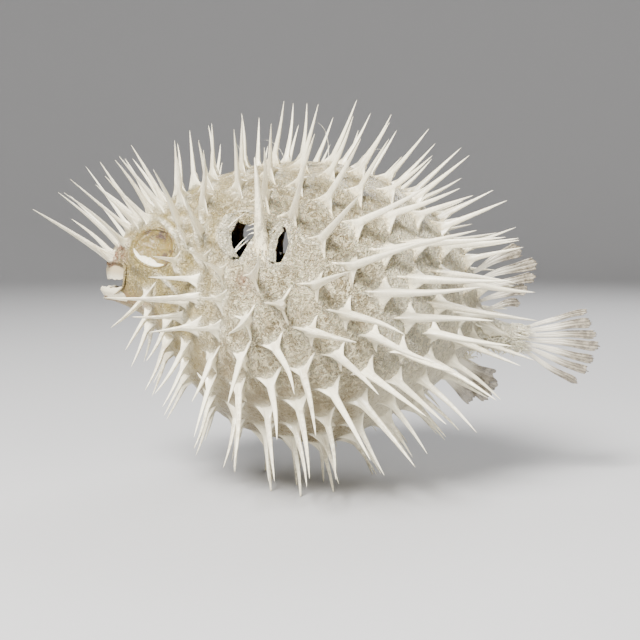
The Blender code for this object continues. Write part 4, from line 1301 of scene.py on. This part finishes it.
def lay_skin_map(skin, shape, used):
    """Map of the skin for its textures: the outside on the left, the inside on the right."""
    rows, columns = shape
    u, v = np.meshgrid((np.arange(columns) + 0.5) / columns, (np.arange(rows) + 0.5) / rows)
    u = np.concatenate([start + width * u.ravel() for start, width in (MAP_OUTSIDE, MAP_INSIDE)])[used]
    v = np.tile(MAP_MARGIN + (1.0 - 2.0 * MAP_MARGIN) * v.ravel(), 2)[used]
    corners = np.empty(len(skin.data.loops), np.int32)
    skin.data.loops.foreach_get("vertex_index", corners)
    quad_u = u[corners].reshape(-1, 4)
    right = quad_u.max(axis=1, keepdims=True)
    width = np.where(right < MAP_INSIDE[0], MAP_OUTSIDE[1], MAP_INSIDE[1])
    quad_u += width * (quad_u < right - MAP_JUMP)
    layer = skin.data.uv_layers.new(name="OFBake")
    place = np.stack([quad_u.ravel(), v[corners]], axis=1)
    layer.uv.foreach_set("vector", place.astype(np.float32).ravel())


class FISH_OT_skin(bpy.types.Operator):
    """Make the one continuous skin with its tents, folds and openings"""

    bl_idname = "fish.skin"
    bl_label = "Skin"

    def execute(self, context):
        make_skin()
        return {"FINISHED"}


# Spines -----------------------------------------------------------------------
def root_headings(plan):
    """Directions of the three roots of each spine, a little uneven, in degrees from the tail."""
    column = plan.number[:, None]
    return [
        heading + HEADING_SCATTER_DEG * scatter(column, 10 + i)
        for i, heading in enumerate(ROOT_HEADINGS_DEG)
    ]


def ring_turns(headings):
    """Turns of a ring's points: several across each root, and one in each gap between two."""
    forward, left, right = (heading + np.array(LOBE_DEG) for heading in headings)
    lobes = (forward, right + 360.0, left + 360.0, forward + 360.0)
    parts = []
    for lobe, following in zip(lobes, lobes[1:]):
        parts += [lobe, 0.5 * (lobe[:, -1:] + following[:, :1])]
    return np.radians(np.concatenate(parts, axis=1))


def shaft_radii(plan):
    """Radius of each shaft above its roots, in millimetres."""
    radius = bpy.context.scene.fish_spines.radius / MM
    shaft = (0.3 + 0.7 * np.clip(plan.length / LONGEST_SHAFT_MM, 0.35, 1.0)) * radius
    shaft = np.minimum(shaft, 0.16 * plan.gap + 0.25)
    shaft[-1] *= UPRIGHT_THICKER
    return shaft[:, None]


def root_reach(plan, headings, turn, shaft):
    """How far the foot of each spine spreads over the skin, at each turn."""
    settings = bpy.context.scene.fish_spines
    column = plan.number[:, None]
    scale = np.clip(plan.gap / ROW_GAP_MM, 0.35, 1.1)[:, None]
    reach = np.broadcast_to(shaft * 1.4, turn.shape)
    lengths = (settings.front_root, settings.side_root, settings.side_root)
    for i, (heading, length) in enumerate(zip(headings, lengths)):
        off = np.degrees(np.angle(np.exp(1j * (turn - np.radians(heading)))))
        root = length / MM * scale * (1.0 + ROOT_SCATTER * scatter(column, 20 + i))
        reach = np.maximum(reach, reach + (root - reach) * bell(off, 0.0, ROOT_HALF_DEG))
    return reach


def spine_roots(plan, turn, shaft, reach):
    """Rings of points from the ends of the roots to the collar, and how white the skin is there."""
    collar = bpy.context.scene.fish_spines.collar / MM * np.clip(plan.gap / ROW_GAP_MM, 0.45, 1.0)
    share = np.array(FLARE_SHARES)[None, :, None]
    inner = shaft[:, :, None] * 1.12
    out = inner + (reach[:, None, :] - inner) * share
    along, around = skin_scales(plan.s, plan.angle)
    s = plan.s[:, None, None] + out * np.cos(turn)[:, None, :] / along[:, None, None]
    angle = plan.angle[:, None, None] + out * np.sin(turn)[:, None, :] / around[:, None, None]
    s = np.maximum(s, skin_front(angle) + 0.1)
    rise, bone = relief(s, angle)
    normal, _, _ = skin_axes(s, angle)
    height = collar[:, None, None] * (1.0 - share) ** 1.7 - 0.22 * share ** 2 + 0.1 * (share < 0.99)
    upright = np.maximum((plan.direction * plan.outward).sum(axis=1), 0.35)
    lean = (plan.direction / upright[:, None])[:, None, None, :]
    return skin_point(s, angle) + normal * rise[..., None] + lean * height[..., None], bone


def spine_shafts(plan, turn, shaft, centre):
    """Rings from the middle of the collar to the tip of each spine."""
    column = plan.number[:, None]
    axis = unit(plan.tip - centre)
    across = unit(plan.tail - axis * (plan.tail * axis).sum(axis=1, keepdims=True))
    beside = np.cross(axis, across)
    beside *= np.sign((beside * plan.round_body).sum(axis=1, keepdims=True))
    step = np.array(SHAFT_SHARES)[None, :, None]
    taper = (1.0 - step ** 1.15) ** 0.85 * (1.0 - 0.12 * np.sin(math.pi * step)) + 0.035
    blunt = np.where(plan.stands, BLUNT_TIP_MM, 0.0)[:, None, None]
    three_sided = 1.0 + 0.12 * np.cos(3.0 * (turn[:, None, :] - math.pi))
    radius = (shaft[:, :, None] * taper + blunt * step) * three_sided
    settle = np.clip(step / SHAFT_SHARES[1], 0.0, 1.0)[..., None]
    first = unit(plan.tail[:, None, None] * (1.0 - settle) + across[:, None, None] * settle)
    second = unit(plan.round_body[:, None, None] * (1.0 - settle) + beside[:, None, None] * settle)
    bow = across * (0.018 * scatter(column, 4) + 0.012) + beside * 0.02 * scatter(column, 5)
    path = centre[:, None] + (plan.tip - centre)[:, None] * step
    path = path + np.sin(math.pi * step) * plan.length[:, None, None] * bow[:, None]
    swing = turn[:, None, :, None]
    ring = first * np.cos(swing) * 0.9 + second * np.sin(swing) * 1.05
    return path[:, :, None] + ring * radius[..., None]


def spine_layers(plan, turn, bone):
    """Values of the spines' points; a sheath of dry skin still covers the upper ones in part."""
    share = np.array(FLARE_SHARES)[None, :, None]
    step = np.array(SHAFT_SHARES)[None, :, None]
    upper = 0.5 * (1.0 - ease(np.abs(plan.angle), 60.0, 96.0)) * ease(plan.s, 20.0, 38.0)
    sheath = np.where(plan.number == plan.number[-1], UPRIGHT_SHEATH, upper)[:, None, None]
    shape = (len(sheath), len(SHAFT_SHARES), turn.shape[1])
    bare = np.broadcast_to(1.0 - sheath * (1.0 - 0.5 * step), shape)
    root_bone = np.maximum(bone, 0.3 + 0.7 * (1.0 - share) ** 0.6) - sheath
    root_shaft = np.broadcast_to(ease(1.0 - share, 0.15, 0.75) - sheath, bone.shape)
    layers = {
        "bone": np.concatenate([root_bone, bare], axis=1),
        "shaft": np.concatenate([root_shaft, bare], axis=1),
        "along": np.concatenate([np.zeros_like(share), step], axis=1),
        "turn": (np.cos(turn) + 0.6 * np.sin(turn * 2.0))[:, None],
        "tone": (7.0 + 7.0 * scatter(plan.number, 6))[:, None, None],
        "fat": fatty_zone(plan.s, plan.angle)[:, None, None],
        "crumple": crumple_zone(plan.s, plan.angle)[:, None, None],
    }
    return {key: np.broadcast_to(values, layers["bone"].shape) for key, values in layers.items()}


def spine_surfaces(plan):
    """Points of all spines, ring by ring from the ends of the roots to the tip, with their values."""
    headings = root_headings(plan)
    turn = ring_turns(headings)
    shaft = shaft_radii(plan)
    roots, bone = spine_roots(plan, turn, shaft, root_reach(plan, headings, turn, shaft))
    shafts = spine_shafts(plan, turn, shaft, roots[:, -1].mean(axis=1))
    points = np.concatenate([roots, shafts], axis=1)
    points[..., 2] += np.maximum(-to_world(points)[..., 2] / MM, 0.0)
    return points, spine_layers(plan, turn, bone)


def spine_faces(rings, around):
    """Faces of one spine: its sides, the fan under its foot and the cap on its tip."""
    foot = rings * around
    faces = [tuple(quad) for quad in grid_faces(rings, around, closed=True)]
    faces += [((j + 1) % around, j, foot) for j in range(around)]
    return faces + [tuple(range(foot - around, foot))]


def spine_regions(plan):
    """Name of the joined piece that each spine belongs to."""
    side = np.where(plan.angle > 0.0, "left", "right")
    names = np.where(np.abs(plan.angle) > BELLY_DEG, "spines_belly", np.char.add("spines_flank_", side))
    names = np.where(np.abs(plan.angle) < BACK_DEG, "spines_back", names)
    return np.where(plan.s < HEAD_END_MM, "spines_head", names)


def make_spines():
    """The spines, joined into one piece for each region."""
    points, values = spine_surfaces(SPINES)
    rings, around = points.shape[1:3]
    faces = spine_faces(rings, around)
    sunk = SPINES.foot - SPINES.outward * ROOT_SUNK_MM
    names = spine_regions(SPINES)
    material = spine_material()
    for name in sorted(set(names)):
        chosen = np.flatnonzero(names == name)
        piece_points, piece_faces = join([([*points[k].reshape(-1, 3), sunk[k]], faces) for k in chosen])
        layers = {
            key: np.concatenate([np.append(value[k], value[k].flat[0]) for k in chosen])
            for key, value in values.items()
        }
        piece = add_piece(name, piece_points, piece_faces, material, layers)
        lay_spine_map(piece, chosen, rings, around)


def lay_spine_map(piece, chosen, rings, around):
    """Each spine is a small patch of the map, at its root's place on the unwrapped skin."""
    corners = np.empty(len(piece.data.loops), np.int32)
    piece.data.loops.foreach_get("vertex_index", corners)
    which, local = np.divmod(corners, rings * around + 1)
    ring, column = np.divmod(local, around)
    spine = chosen[which]
    u = SPINE_MAP[0] + SPINE_MAP[1] * (SPINES.angle[spine] + 180.0) / 360.0
    v = SPINE_MAP[0] + SPINE_MAP[1] * SPINES.s[spine] / STALK_END_MM
    place = np.stack(
        [u + SPINE_PATCH * (column / around - 0.5), v + SPINE_PATCH * (ring / rings - 0.5)], axis=1
    )
    layer = piece.data.uv_layers.new(name="OFBake")
    layer.uv.foreach_set("vector", place.astype(np.float32).ravel())


class FISH_OT_spines(bpy.types.Operator):
    """Make the three-rooted spines, joined by region"""

    bl_idname = "fish.spines"
    bl_label = "Spines"

    def execute(self, context):
        make_spines()
        return {"FINISHED"}


# Eyes -------------------------------------------------------------------------
def socket_rim(side, turn, grow):
    """Points of the wrinkled skin round the eye, at turns measured from the tail downward."""
    along, around = skin_scales(EYE_S_MM, side * EYE_DEG)
    radius = EYE_RADIUS_MM + grow
    s = EYE_S_MM + radius * np.cos(turn) / along
    return on_skin(s, side * (EYE_DEG + radius * np.sin(turn) / around))


def make_eye(side, name, material, rings=26, around=96):
    """A wrinkled dish that hangs in its socket, with the white lower lid."""
    outward, tail, _ = skin_axes(EYE_S_MM, side * EYE_DEG)
    outward = unit(outward + tail * EYE_TURN)
    share = np.linspace(0.0, 1.0, rings)[:, None]
    turn = np.arange(around)[None] * 2.0 * math.pi / around
    rim = socket_rim(side, turn, 0.55)
    middle = rim.reshape(-1, 3).mean(axis=0)
    spread = middle + (rim - middle) * share[..., None]
    depth = bpy.context.scene.fish_eyes.depth / MM * (1.0 - share ** 2.4) - 0.34 * bell(share, 0.93, 0.05)
    folds = 0.16 * np.sin(turn * 9.0 + 5.0 * share) * share * (1.0 - share)
    folds = folds + 0.14 * noise_at(spread, 2.6, 3) * (1.0 - share ** 4)
    ring_fold = 0.25 * bell(share, 0.72, 0.06) * (0.6 + 0.4 * np.cos(turn - 2.4))
    dish = spread + outward * (folds + ring_fold - depth)[..., None]
    count = rings * around
    quads = grid_faces(rings, around, closed=True)
    edge = np.arange(count - around, count)
    after = np.roll(edge, -1)
    walls = np.stack([edge, after, after + count, edge + count], axis=1)
    faces = [*quads, *(quads[:, ::-1] + count), *walls]
    points = np.concatenate([dish.reshape(-1, 3), (dish - outward * EYE_SKIN_MM).reshape(-1, 3)])
    trace = sum(2.6 * bell(turn, at, wide) * bell(share, out, deep) for at, wide, out, deep in EYE_TRACES)
    lid_points, lid_faces = eye_lid(side, middle, outward)
    layers = {
        "trace": np.concatenate([np.tile(np.clip(trace, 0.0, 1.0).ravel(), 2), np.zeros(len(lid_points))]),
        "lid": np.concatenate([np.zeros(2 * count), np.ones(len(lid_points))]),
    }
    points, faces = join([(points, faces), (lid_points, lid_faces)])
    eye = add_piece("dried_" + name, points, faces, material, layers)
    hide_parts(name)


def eye_lid(side, middle, outward):
    """White crescent along the lower front edge of the socket."""
    turn = np.radians(np.linspace(46.0, 188.0, 56))[:, None]
    share = np.linspace(0.0, 1.0, 11)[None]
    course = (turn - turn[0]) / (turn[-1] - turn[0])
    width = 0.02 + 0.5 * np.sin(math.pi * course ** 0.8) ** 1.1
    rim = socket_rim(side, turn, 0.2)
    height = 0.35 * np.sin(math.pi * share) - 1.15 * share ** 1.6 - 0.1 + 0.09 * np.sin(turn * 14.0) * share
    points = rim + (middle - rim) * (width * share)[..., None] + outward * height[..., None]
    return sheet_piece(points, FLAP_MM)


class FISH_OT_eyes(bpy.types.Operator):
    """Make both dried eyes with their lids"""

    bl_idname = "fish.eyes"
    bl_label = "Eyes"

    def execute(self, context):
        material = eye_material()
        for side, name in SIDES:
            make_eye(side, "eye_" + name, material)
        return {"FINISHED"}


# Beak and mouth -----------------------------------------------------------------
def make_beak(name, root, edge, front, reaches, arch, worn, rows=14, inner_rows=8, columns=61):
    """One plate: a bent band from its root to a cutting edge that is thin and a little notched."""
    half = bpy.context.scene.fish_beak.half_width / MM
    back = CORNER_MM + 1.4
    turn = np.linspace(-0.5 * math.pi, 0.5 * math.pi, columns)[None]
    notch = 0.14 * np.sin(turn * 23.0) + 0.1 * np.sin(turn * 9.0 + 1.0) + arch[0] - arch[1] * np.cos(turn)

    def surface(t, thick, bulge, groove):
        reach = np.interp(t, (0.0, 0.5, 1.0), reaches)
        height = root + (edge - root) * t + notch * t ** 3
        along = back - ((back - front - thick) * reach + bulge) * np.cos(turn) + groove
        across = (half - thick + 0.3 * bulge) * np.sin(turn) * reach
        return np.stack(np.broadcast_arrays(along, across, height), axis=-1)

    t = np.linspace(0.0, 1.0, rows)[:, None]
    t_in = np.linspace(1.0, 0.0, inner_rows)[:, None]
    outer = surface(t, 0.0, 0.35 * np.sin(math.pi * t), 0.12 * bell(turn, 0.0, 0.05))
    inner = surface(t_in, 0.45 + 1.2 * (1.0 - t_in), 0.0, 0.0)
    total = rows + inner_rows
    first = np.arange(total)[:, None] * columns
    following = np.roll(first, -1, axis=0)
    j = np.arange(columns - 1)[None]
    quads = np.stack([first + j, first + j + 1, following + j + 1, following + j], axis=-1).reshape(-1, 4)
    faces = [*quads, tuple(first[:, 0]), tuple(first[::-1, 0] + columns - 1)]
    layers = {
        "along": np.broadcast_to(np.concatenate([t, t_in]), (total, columns)),
        "turn": np.broadcast_to(turn * 2.0, (total, columns)),
    }
    points = np.concatenate([outer, inner]).reshape(-1, 3)
    beak = add_piece("plate_" + name, points, faces, beak_material(name + "_enamel", worn), layers)
    beak.data.set_sharp_from_angle(angle=math.radians(50.0))
    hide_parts(name)


def make_lips(count=240, around=12):
    """The dried lips: a soft roll along the front edge of the skin."""
    angles = np.arange(count) * 360.0 / count - 180.0
    s = skin_front(angles)
    outward, tail, _ = skin_axes(s + 0.3, angles)
    middle = skin_point(s, angles) - outward * 0.35 - tail * 0.05
    corner = ease(s, FRONT_MM, CORNER_MM)
    radius = 0.5 + 0.14 * noise_at(middle, 2.0) + 0.16 * np.cos(np.radians(angles))
    radius = radius * (1.0 - 0.15 * corner)
    turn = np.arange(around) * 2.0 * math.pi / around
    ring = outward[:, None] * np.cos(turn)[None, :, None] - tail[:, None] * np.sin(turn)[None, :, None]
    points = (middle[:, None] + ring * radius[:, None, None]).reshape(-1, 3)
    faces = grid_faces(count + 1, around, closed=True) % len(points)
    stain = np.clip(0.15 + stain_zone(s, angles), 0.0, 1.0) * (1.0 - 0.8 * corner)
    layers = {"stain": np.repeat(stain, around), "fat": 0.6, "crumple": 0.25}
    add_piece("lips", points, faces, skin_material(), layers)


def make_gums(count=240, rows=9):
    """The gums: a thin sheet from the lips inward to the roots of the beak."""
    angles = np.arange(count + 1) * 360.0 / count - 180.0
    s = skin_front(angles)
    outward, tail, _ = skin_axes(s + 0.3, angles)
    corner = ease(s, FRONT_MM, CORNER_MM)
    share = np.linspace(0.0, 1.0, rows)[:, None, None]
    edge = skin_point(s, angles) - outward * 0.5
    sheet = edge * (1.0 - 0.45 * share) + (edge * (1.0, 0.0, 0.0) + (2.2, 0.0, 1.0)) * 0.45 * share
    sheet = sheet - tail * (0.5 * np.sin(math.pi * share) + 0.12 * noise_at(sheet, 1.4)[..., None])
    sheet[:, -1] = sheet[:, 0]
    points, faces = sheet_piece(sheet, FLAP_MM)
    stain = np.clip(0.6 + 0.5 * stain_zone(s, angles), 0.0, 1.0) * (1.0 - 0.9 * corner)
    layers = {"stain": np.tile(stain, 2 * rows), "fat": 0.5, "crumple": 0.3}
    add_piece("gums", points, faces, skin_material(), layers)


class FISH_OT_beak(bpy.types.Operator):
    """Make the upper and lower plates of the beak, the lips and the gums"""

    bl_idname = "fish.beak"
    bl_label = "Beak"

    def execute(self, context):
        for plate in BEAK_PLATES:
            make_beak(*plate)
        make_lips()
        make_gums()
        return {"FINISHED"}


# Fins -------------------------------------------------------------------------
def ray_blade(root, tip, root_half, tip_half, number, bow, clear_from, columns=13):
    """One ray: narrow and thick at its root, flat, split and frayed at its end."""
    settings = bpy.context.scene.fish_fins
    t = np.linspace(0.0, 1.0, settings.points)[:, None]
    u = np.linspace(-1.0, 1.0, columns)[None]
    run = np.array(tip) - root
    length = np.linalg.norm(run)
    run = run / length
    side = np.array([-run[1], run[0]])
    fray = 0.55 * scatter(np.arange(columns) + number * 31, 7)[None] + 0.35 * np.cos(u * 3.0)
    reach = length * t + (fray - 0.6) * t ** 5
    half = (root_half + (tip_half - root_half) * t ** 1.1) * (1.0 - 0.12 * ease(t, 0.93, 1.0))
    sway = bow * np.sin(math.pi * t) + 0.12 * np.sin(t * 9.0 + number)
    place = root + run * reach[..., None] + side * (half * u + sway)[..., None]
    lines = 0.16 * np.cos(u * 3.0 * math.pi) * ease(t, 0.1, 0.5)
    curl = 0.5 * np.sin(t * 4.0 + number * 2.3) * t + 0.35 * u * np.sin(number * 1.7) * t
    thickness = RAY_SHARE * settings.thickness / MM
    points, faces = sheet_piece(np.stack([place[..., 0], lines + curl, place[..., 1]], axis=-1), thickness)
    points[:, 1] += 0.5 * thickness
    layers = {
        "along": t,
        "turn": u * 2.4,
        "clear": ease(t, clear_from, 0.95) * (0.45 + 0.55 * np.abs(u)),
        "tone": float(number),
    }
    layers = {key: np.tile(np.broadcast_to(v, lines.shape).ravel(), 2) for key, v in layers.items()}
    return points, faces, layers


def make_fin(name, blades):
    points, faces = join([blade[:2] for blade in blades])
    layers = {key: np.concatenate([blade[2][key] for blade in blades]) for key in blades[0][2]}
    fin = add_piece("dried_" + name, points, faces, fin_material(), layers)
    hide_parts(name)


def caudal_blades():
    for i, (tip, width) in enumerate(zip(CAUDAL_TIPS_MM, CAUDAL_HALF_WIDTHS_MM)):
        share = i / (len(CAUDAL_TIPS_MM) - 1)
        root = (CAUDAL_ROOT_MM, CAUDAL_HALF_MM * (1.0 - 2.0 * share) - 0.4)
        yield ray_blade(root, tip, 0.42, width, i, bow=(share - 0.5) * -0.8, clear_from=0.3)


def dorsal_blades():
    for i, (tip, width) in enumerate(zip(DORSAL_TIPS_MM, DORSAL_HALF_WIDTHS_MM)):
        s = np.interp((i + 0.5) / len(DORSAL_TIPS_MM), (0.0, 1.0), DORSAL_ROOT_MM)
        root = (s, float(TOP(s)) - FIN_SUNK_MM)
        yield ray_blade(root, tip, 0.45, width, i + 10, bow=0.5, clear_from=0.25)


def anal_blades():
    for i, tip in enumerate(ANAL_TIPS_MM):
        s = np.interp((i + 0.5) / len(ANAL_TIPS_MM), (0.0, 1.0), ANAL_ROOT_MM)
        root = (s, float(BOTTOM(s)) + FIN_SUNK_MM)
        yield ray_blade(root, tip, 0.8, 2.7, i + 20, bow=-0.3, clear_from=0.1)


class FISH_OT_fins(bpy.types.Operator):
    """Make the dried dorsal, anal and caudal fins"""

    bl_idname = "fish.fins"
    bl_label = "Fins"

    def execute(self, context):
        make_fin("fin_caudal", list(caudal_blades()))
        make_fin("fin_dorsal", list(dorsal_blades()))
        make_fin("fin_anal", list(anal_blades()))
        return {"FINISHED"}


# Gill and fin openings ----------------------------------------------------------
def flap_sheet(edges, side, rows, columns, folds, heights, number):
    """A folded flap between two lines of (station, angle) points, at heights across it."""
    t = np.linspace(0.0, 1.0, rows)
    u = np.linspace(0.0, 1.0, columns)
    lines = []
    for edge in edges:
        at = np.linspace(0.0, 1.0, len(edge))
        lines.append(np.stack([np.interp(t, at, values) for values in zip(*edge)], axis=1))
    spot = lines[0][:, None] * (1.0 - u)[None, :, None] + lines[1][:, None] * u[None, :, None]
    s = spot[..., 0]
    height = np.interp(u, np.linspace(0.0, 1.0, len(heights)), heights)[None]
    fold = np.sin(u[None] * 13.0 + 1.6 * np.sin(t[:, None] * 7.0 + number)) * np.sin(math.pi * u)[None]
    rumple = noise_at(np.stack([s, spot[..., 1] * 0.6, np.full(s.shape, number)], axis=-1), 1.6, 3)
    angle = spot[..., 1] * side
    outward, _, _ = skin_axes(s, angle)
    lift = height + folds * (fold + rumple)
    return sheet_piece(skin_point(s, angle) + outward * lift[..., None], FLAP_MM)


def needle(side, start, end, low, high, radius):
    """A thin strand of dried tissue between two (station, angle) points of an opening."""
    t = np.linspace(0.0, 1.0, 14)
    s = start[0] + (end[0] - start[0]) * t
    angle = side * (start[1] + (end[1] - start[1]) * t)
    outward, _, _ = skin_axes(s, angle)
    path = skin_point(s, angle) + outward * (low + (high - low) * t + 0.3 * np.sin(math.pi * t))[:, None]
    return strand(path, radius * (1.0 - 0.85 * t))


class FISH_OT_openings(bpy.types.Operator):
    """Make the dried flaps and needles in the gill and fin openings"""

    bl_idname = "fish.openings"
    bl_label = "Openings"

    def execute(self, context):
        material = skin_material()
        for side, name in SIDES:
            for label, white, edges, *shape in FLAPS:
                points, faces = flap_sheet(edges, side, *shape)
                layers = {"bone": white, "crumple": 0.6, "fat": 0.3}
                add_piece(label + name, points, faces, material, layers)
            points, faces = join([needle(side, *row) for row in NEEDLES])
            layers = {"bone": 0.9, "crumple": 0.1}
            add_piece("gill_needles_" + name, points, faces, material, layers)
        return {"FINISHED"}


# Loose fibres -------------------------------------------------------------------
def stalk_fibre(i):
    """A curly fibre of the frayed tissue below the tail stalk."""
    s = 109.5 + 15.9 * i / (STALK_FIBRES - 1) + 0.6 * scatter(i, 30)
    angle = 180.0 + (96.0 - 20.0 * ease(s, 118.0, STALK_END_MM)) * scatter(i, 31)
    outward, tail, round_body = skin_axes(s, angle)
    run = outward * (0.7 + 0.3 * scatter(i, 32)) + tail * 1.1 * scatter(i, 33)
    run = run + round_body * 0.8 * scatter(i, 34)
    t = np.linspace(0.0, 1.0, 9)[:, None]
    curl = tail * np.sin(t * 5.0) * 1.1 * scatter(i, 36)
    curl = curl + round_body * np.sin(t * 4.0) * 0.8 * scatter(i, 37)
    path = skin_point(s, angle) - outward * 0.5 + unit(run) * (2.7 + 1.3 * scatter(i, 35)) * t + curl
    return strand(path, 0.3 * (1.0 - 0.75 * t[:, 0]) + 0.03, 6)


def end_fibre(i):
    """A fibre that runs back from the end of the stalk over the roots of the tail fin."""
    s = 121.5 + 4.2 * abs(scatter(i, 50))
    angle = 180.0 * scatter(i, 51)
    outward, tail, round_body = skin_axes(s, angle)
    run = unit(tail + outward * (0.14 + 0.16 * scatter(i, 52)) + round_body * 0.25 * scatter(i, 53))
    t = np.linspace(0.0, 1.0, 8)[:, None]
    wave = outward * np.sin(t * 5.0 + i) * 0.2
    path = skin_point(s, angle) - outward * 0.2 + run * (3.0 + 1.4 * scatter(i, 54)) * t + wave
    return strand(path, 0.3 * (1.0 - 0.75 * t[:, 0]) + 0.04, 6)


def back_thread(i):
    """A long loose thread that stands up from the back and bends over."""
    s = 36.0 + 11.0 * i + 3.0 * scatter(i, 40)
    angle = 22.0 * scatter(i, 41)
    outward, tail, round_body = skin_axes(s, angle)
    t = np.linspace(0.0, 1.0, 22)[:, None]
    foot = on_skin(np.array([s]), np.array([angle]))[0]
    rise = outward * (9.0 + 4.0 * scatter(i, 42)) * np.sin(t * 1.4)
    sweep = tail * (7.0 * t ** 2 * scatter(i, 43)) + round_body * 3.0 * t * t * scatter(i, 44)
    return strand(foot + rise + sweep, 0.09 * (1.0 - 0.7 * t[:, 0]), 6)


def cheek_shred(start, end):
    """A thick shred that lies over the skin below the cheek."""
    t = np.linspace(0.0, 1.0, 12)
    s = start[0] + (end[0] - start[0]) * t
    angle = start[1] + (end[1] - start[1]) * t
    path = on_skin(s, angle, 0.3 + 0.7 * np.sin(math.pi * t))
    return strand(path, 0.34 * np.sin(math.pi * (0.1 + 0.85 * t)) + 0.04, 6)


class FISH_OT_fibres(bpy.types.Operator):
    """Make the frayed fibres of the tail stalk and the loose threads on the back and cheek"""

    bl_idname = "fish.fibres"
    bl_label = "Fibres"

    def execute(self, context):
        strands = [stalk_fibre(i) for i in range(STALK_FIBRES)]
        strands += [end_fibre(i) for i in range(END_FIBRES)]
        strands += [back_thread(i) for i in range(BACK_THREADS)]
        strands += [cheek_shred(*ends) for ends in CHEEK_SHREDS]
        points, faces = join(strands)
        layers = {"bone": 0.95, "crumple": 0.1, "fat": 0.7}
        add_piece("loose_fibres", points, faces, skin_material(), layers)
        return {"FINISHED"}


# Stage --------------------------------------------------------------------------
def make_floor(colour, flat=1.1, bend=0.7, wall=3.0, around=96):
    """A plain round floor that curves up into a wall all round."""
    rises = np.linspace(0.0, 0.5 * math.pi, 24)[1:]
    profile = [(0.02, 0.0), (flat, 0.0)]
    profile += [(flat + bend * math.sin(rise), bend - bend * math.cos(rise)) for rise in rises]
    profile.append((flat + bend, wall))
    turn = np.arange(around) * 2.0 * math.pi / around
    points = [(r * math.cos(a), r * math.sin(a), z) for r, z in profile for a in turn]
    faces = grid_faces(len(profile), around, closed=True)[:, ::-1].tolist()
    mesh = bpy.data.meshes.new("floor")
    mesh.from_pydata(points, [], [*faces, tuple(range(around))])
    mesh.shade_smooth()
    mesh.materials.append(floor_material(colour))
    floor = new_object("floor", mesh)


def add_light(name, place, size, power, colour):
    """A round soft light that is turned to the fish."""
    light = bpy.data.lights.new(name, "AREA")
    light.shape = "DISK"
    light.size = size
    light.energy = power
    light.color = colour
    item = new_object(name, light)
    item.location = place
    item.rotation_euler = (Vector(LIT_POINT) - Vector(place)).to_track_quat("-Z", "Y").to_euler()


def add_camera(settings):
    """A camera that looks at the fish's left side from a little above."""
    camera = bpy.data.cameras.new("camera")
    camera.lens = settings.lens
    camera.sensor_width = 36.0
    tilt = math.radians(settings.height_deg)
    item = new_object("camera", camera)
    item.location = Vector(AIM_POINT) + Vector((0.0, -math.cos(tilt), math.sin(tilt))) * settings.distance
    item.rotation_euler = (math.radians(90.0) - tilt, 0.0, 0.0)
    bpy.context.scene.camera = item


class FISH_OT_stage(bpy.types.Operator):
    """Make the floor, the lights and the camera"""

    bl_idname = "fish.stage"
    bl_label = "Stage"

    def execute(self, context):
        settings = context.scene.fish_stage
        make_floor(settings.floor)
        for light in LIGHTS:
            add_light(*light)
        world = bpy.data.worlds.new("soft_room")
        world.use_nodes = True
        set_constants(world.node_tree.nodes["Background"], {"Color": settings.room, "Strength": 0.2})
        context.scene.world = world
        add_camera(settings)
        return {"FINISHED"}


# Panel and registration ---------------------------------------------------------
SETTINGS = (
    ("fish_skin", SkinSettings), ("fish_spines", SpineSettings), ("fish_eyes", EyeSettings),
    ("fish_beak", BeakSettings), ("fish_fins", FinSettings), ("fish_stage", StageSettings),
)
OPERATORS = (
    FISH_OT_skin, FISH_OT_spines, FISH_OT_eyes, FISH_OT_beak, FISH_OT_fins, FISH_OT_openings,
    FISH_OT_fibres, FISH_OT_stage,
)


class FISH_PT_panel(bpy.types.Panel):
    """Lists the pieces of the dried fish"""

    bl_label = "Dried porcupinefish"
    bl_idname = "FISH_PT_panel"
    bl_space_type = "VIEW_3D"
    bl_region_type = "UI"
    bl_category = "Fish"

    def draw(self, context):
        for operator in OPERATORS:
            self.layout.operator(operator.bl_idname)
        for name, group in SETTINGS:
            box = self.layout.box()
            box.label(text=group.__doc__.strip("."))
            settings = getattr(context.scene, name)
            for key in group.__annotations__:
                box.prop(settings, key)


def register():
    for name, group in SETTINGS:
        bpy.utils.register_class(group)
        setattr(bpy.types.Scene, name, PointerProperty(type=group))
    for item in (*OPERATORS, FISH_PT_panel):
        bpy.utils.register_class(item)


def unregister():
    for item in (FISH_PT_panel, *reversed(OPERATORS)):
        bpy.utils.unregister_class(item)
    for name, group in reversed(SETTINGS):
        delattr(bpy.types.Scene, name)
        bpy.utils.unregister_class(group)


def main():
    register()
    bpy.ops.fish.skin()
    bpy.ops.fish.spines()
    bpy.ops.fish.eyes()
    bpy.ops.fish.beak()
    bpy.ops.fish.fins()
    bpy.ops.fish.openings()
    bpy.ops.fish.fibres()
    bpy.ops.fish.stage()


if __name__ == "__main__":
    main()
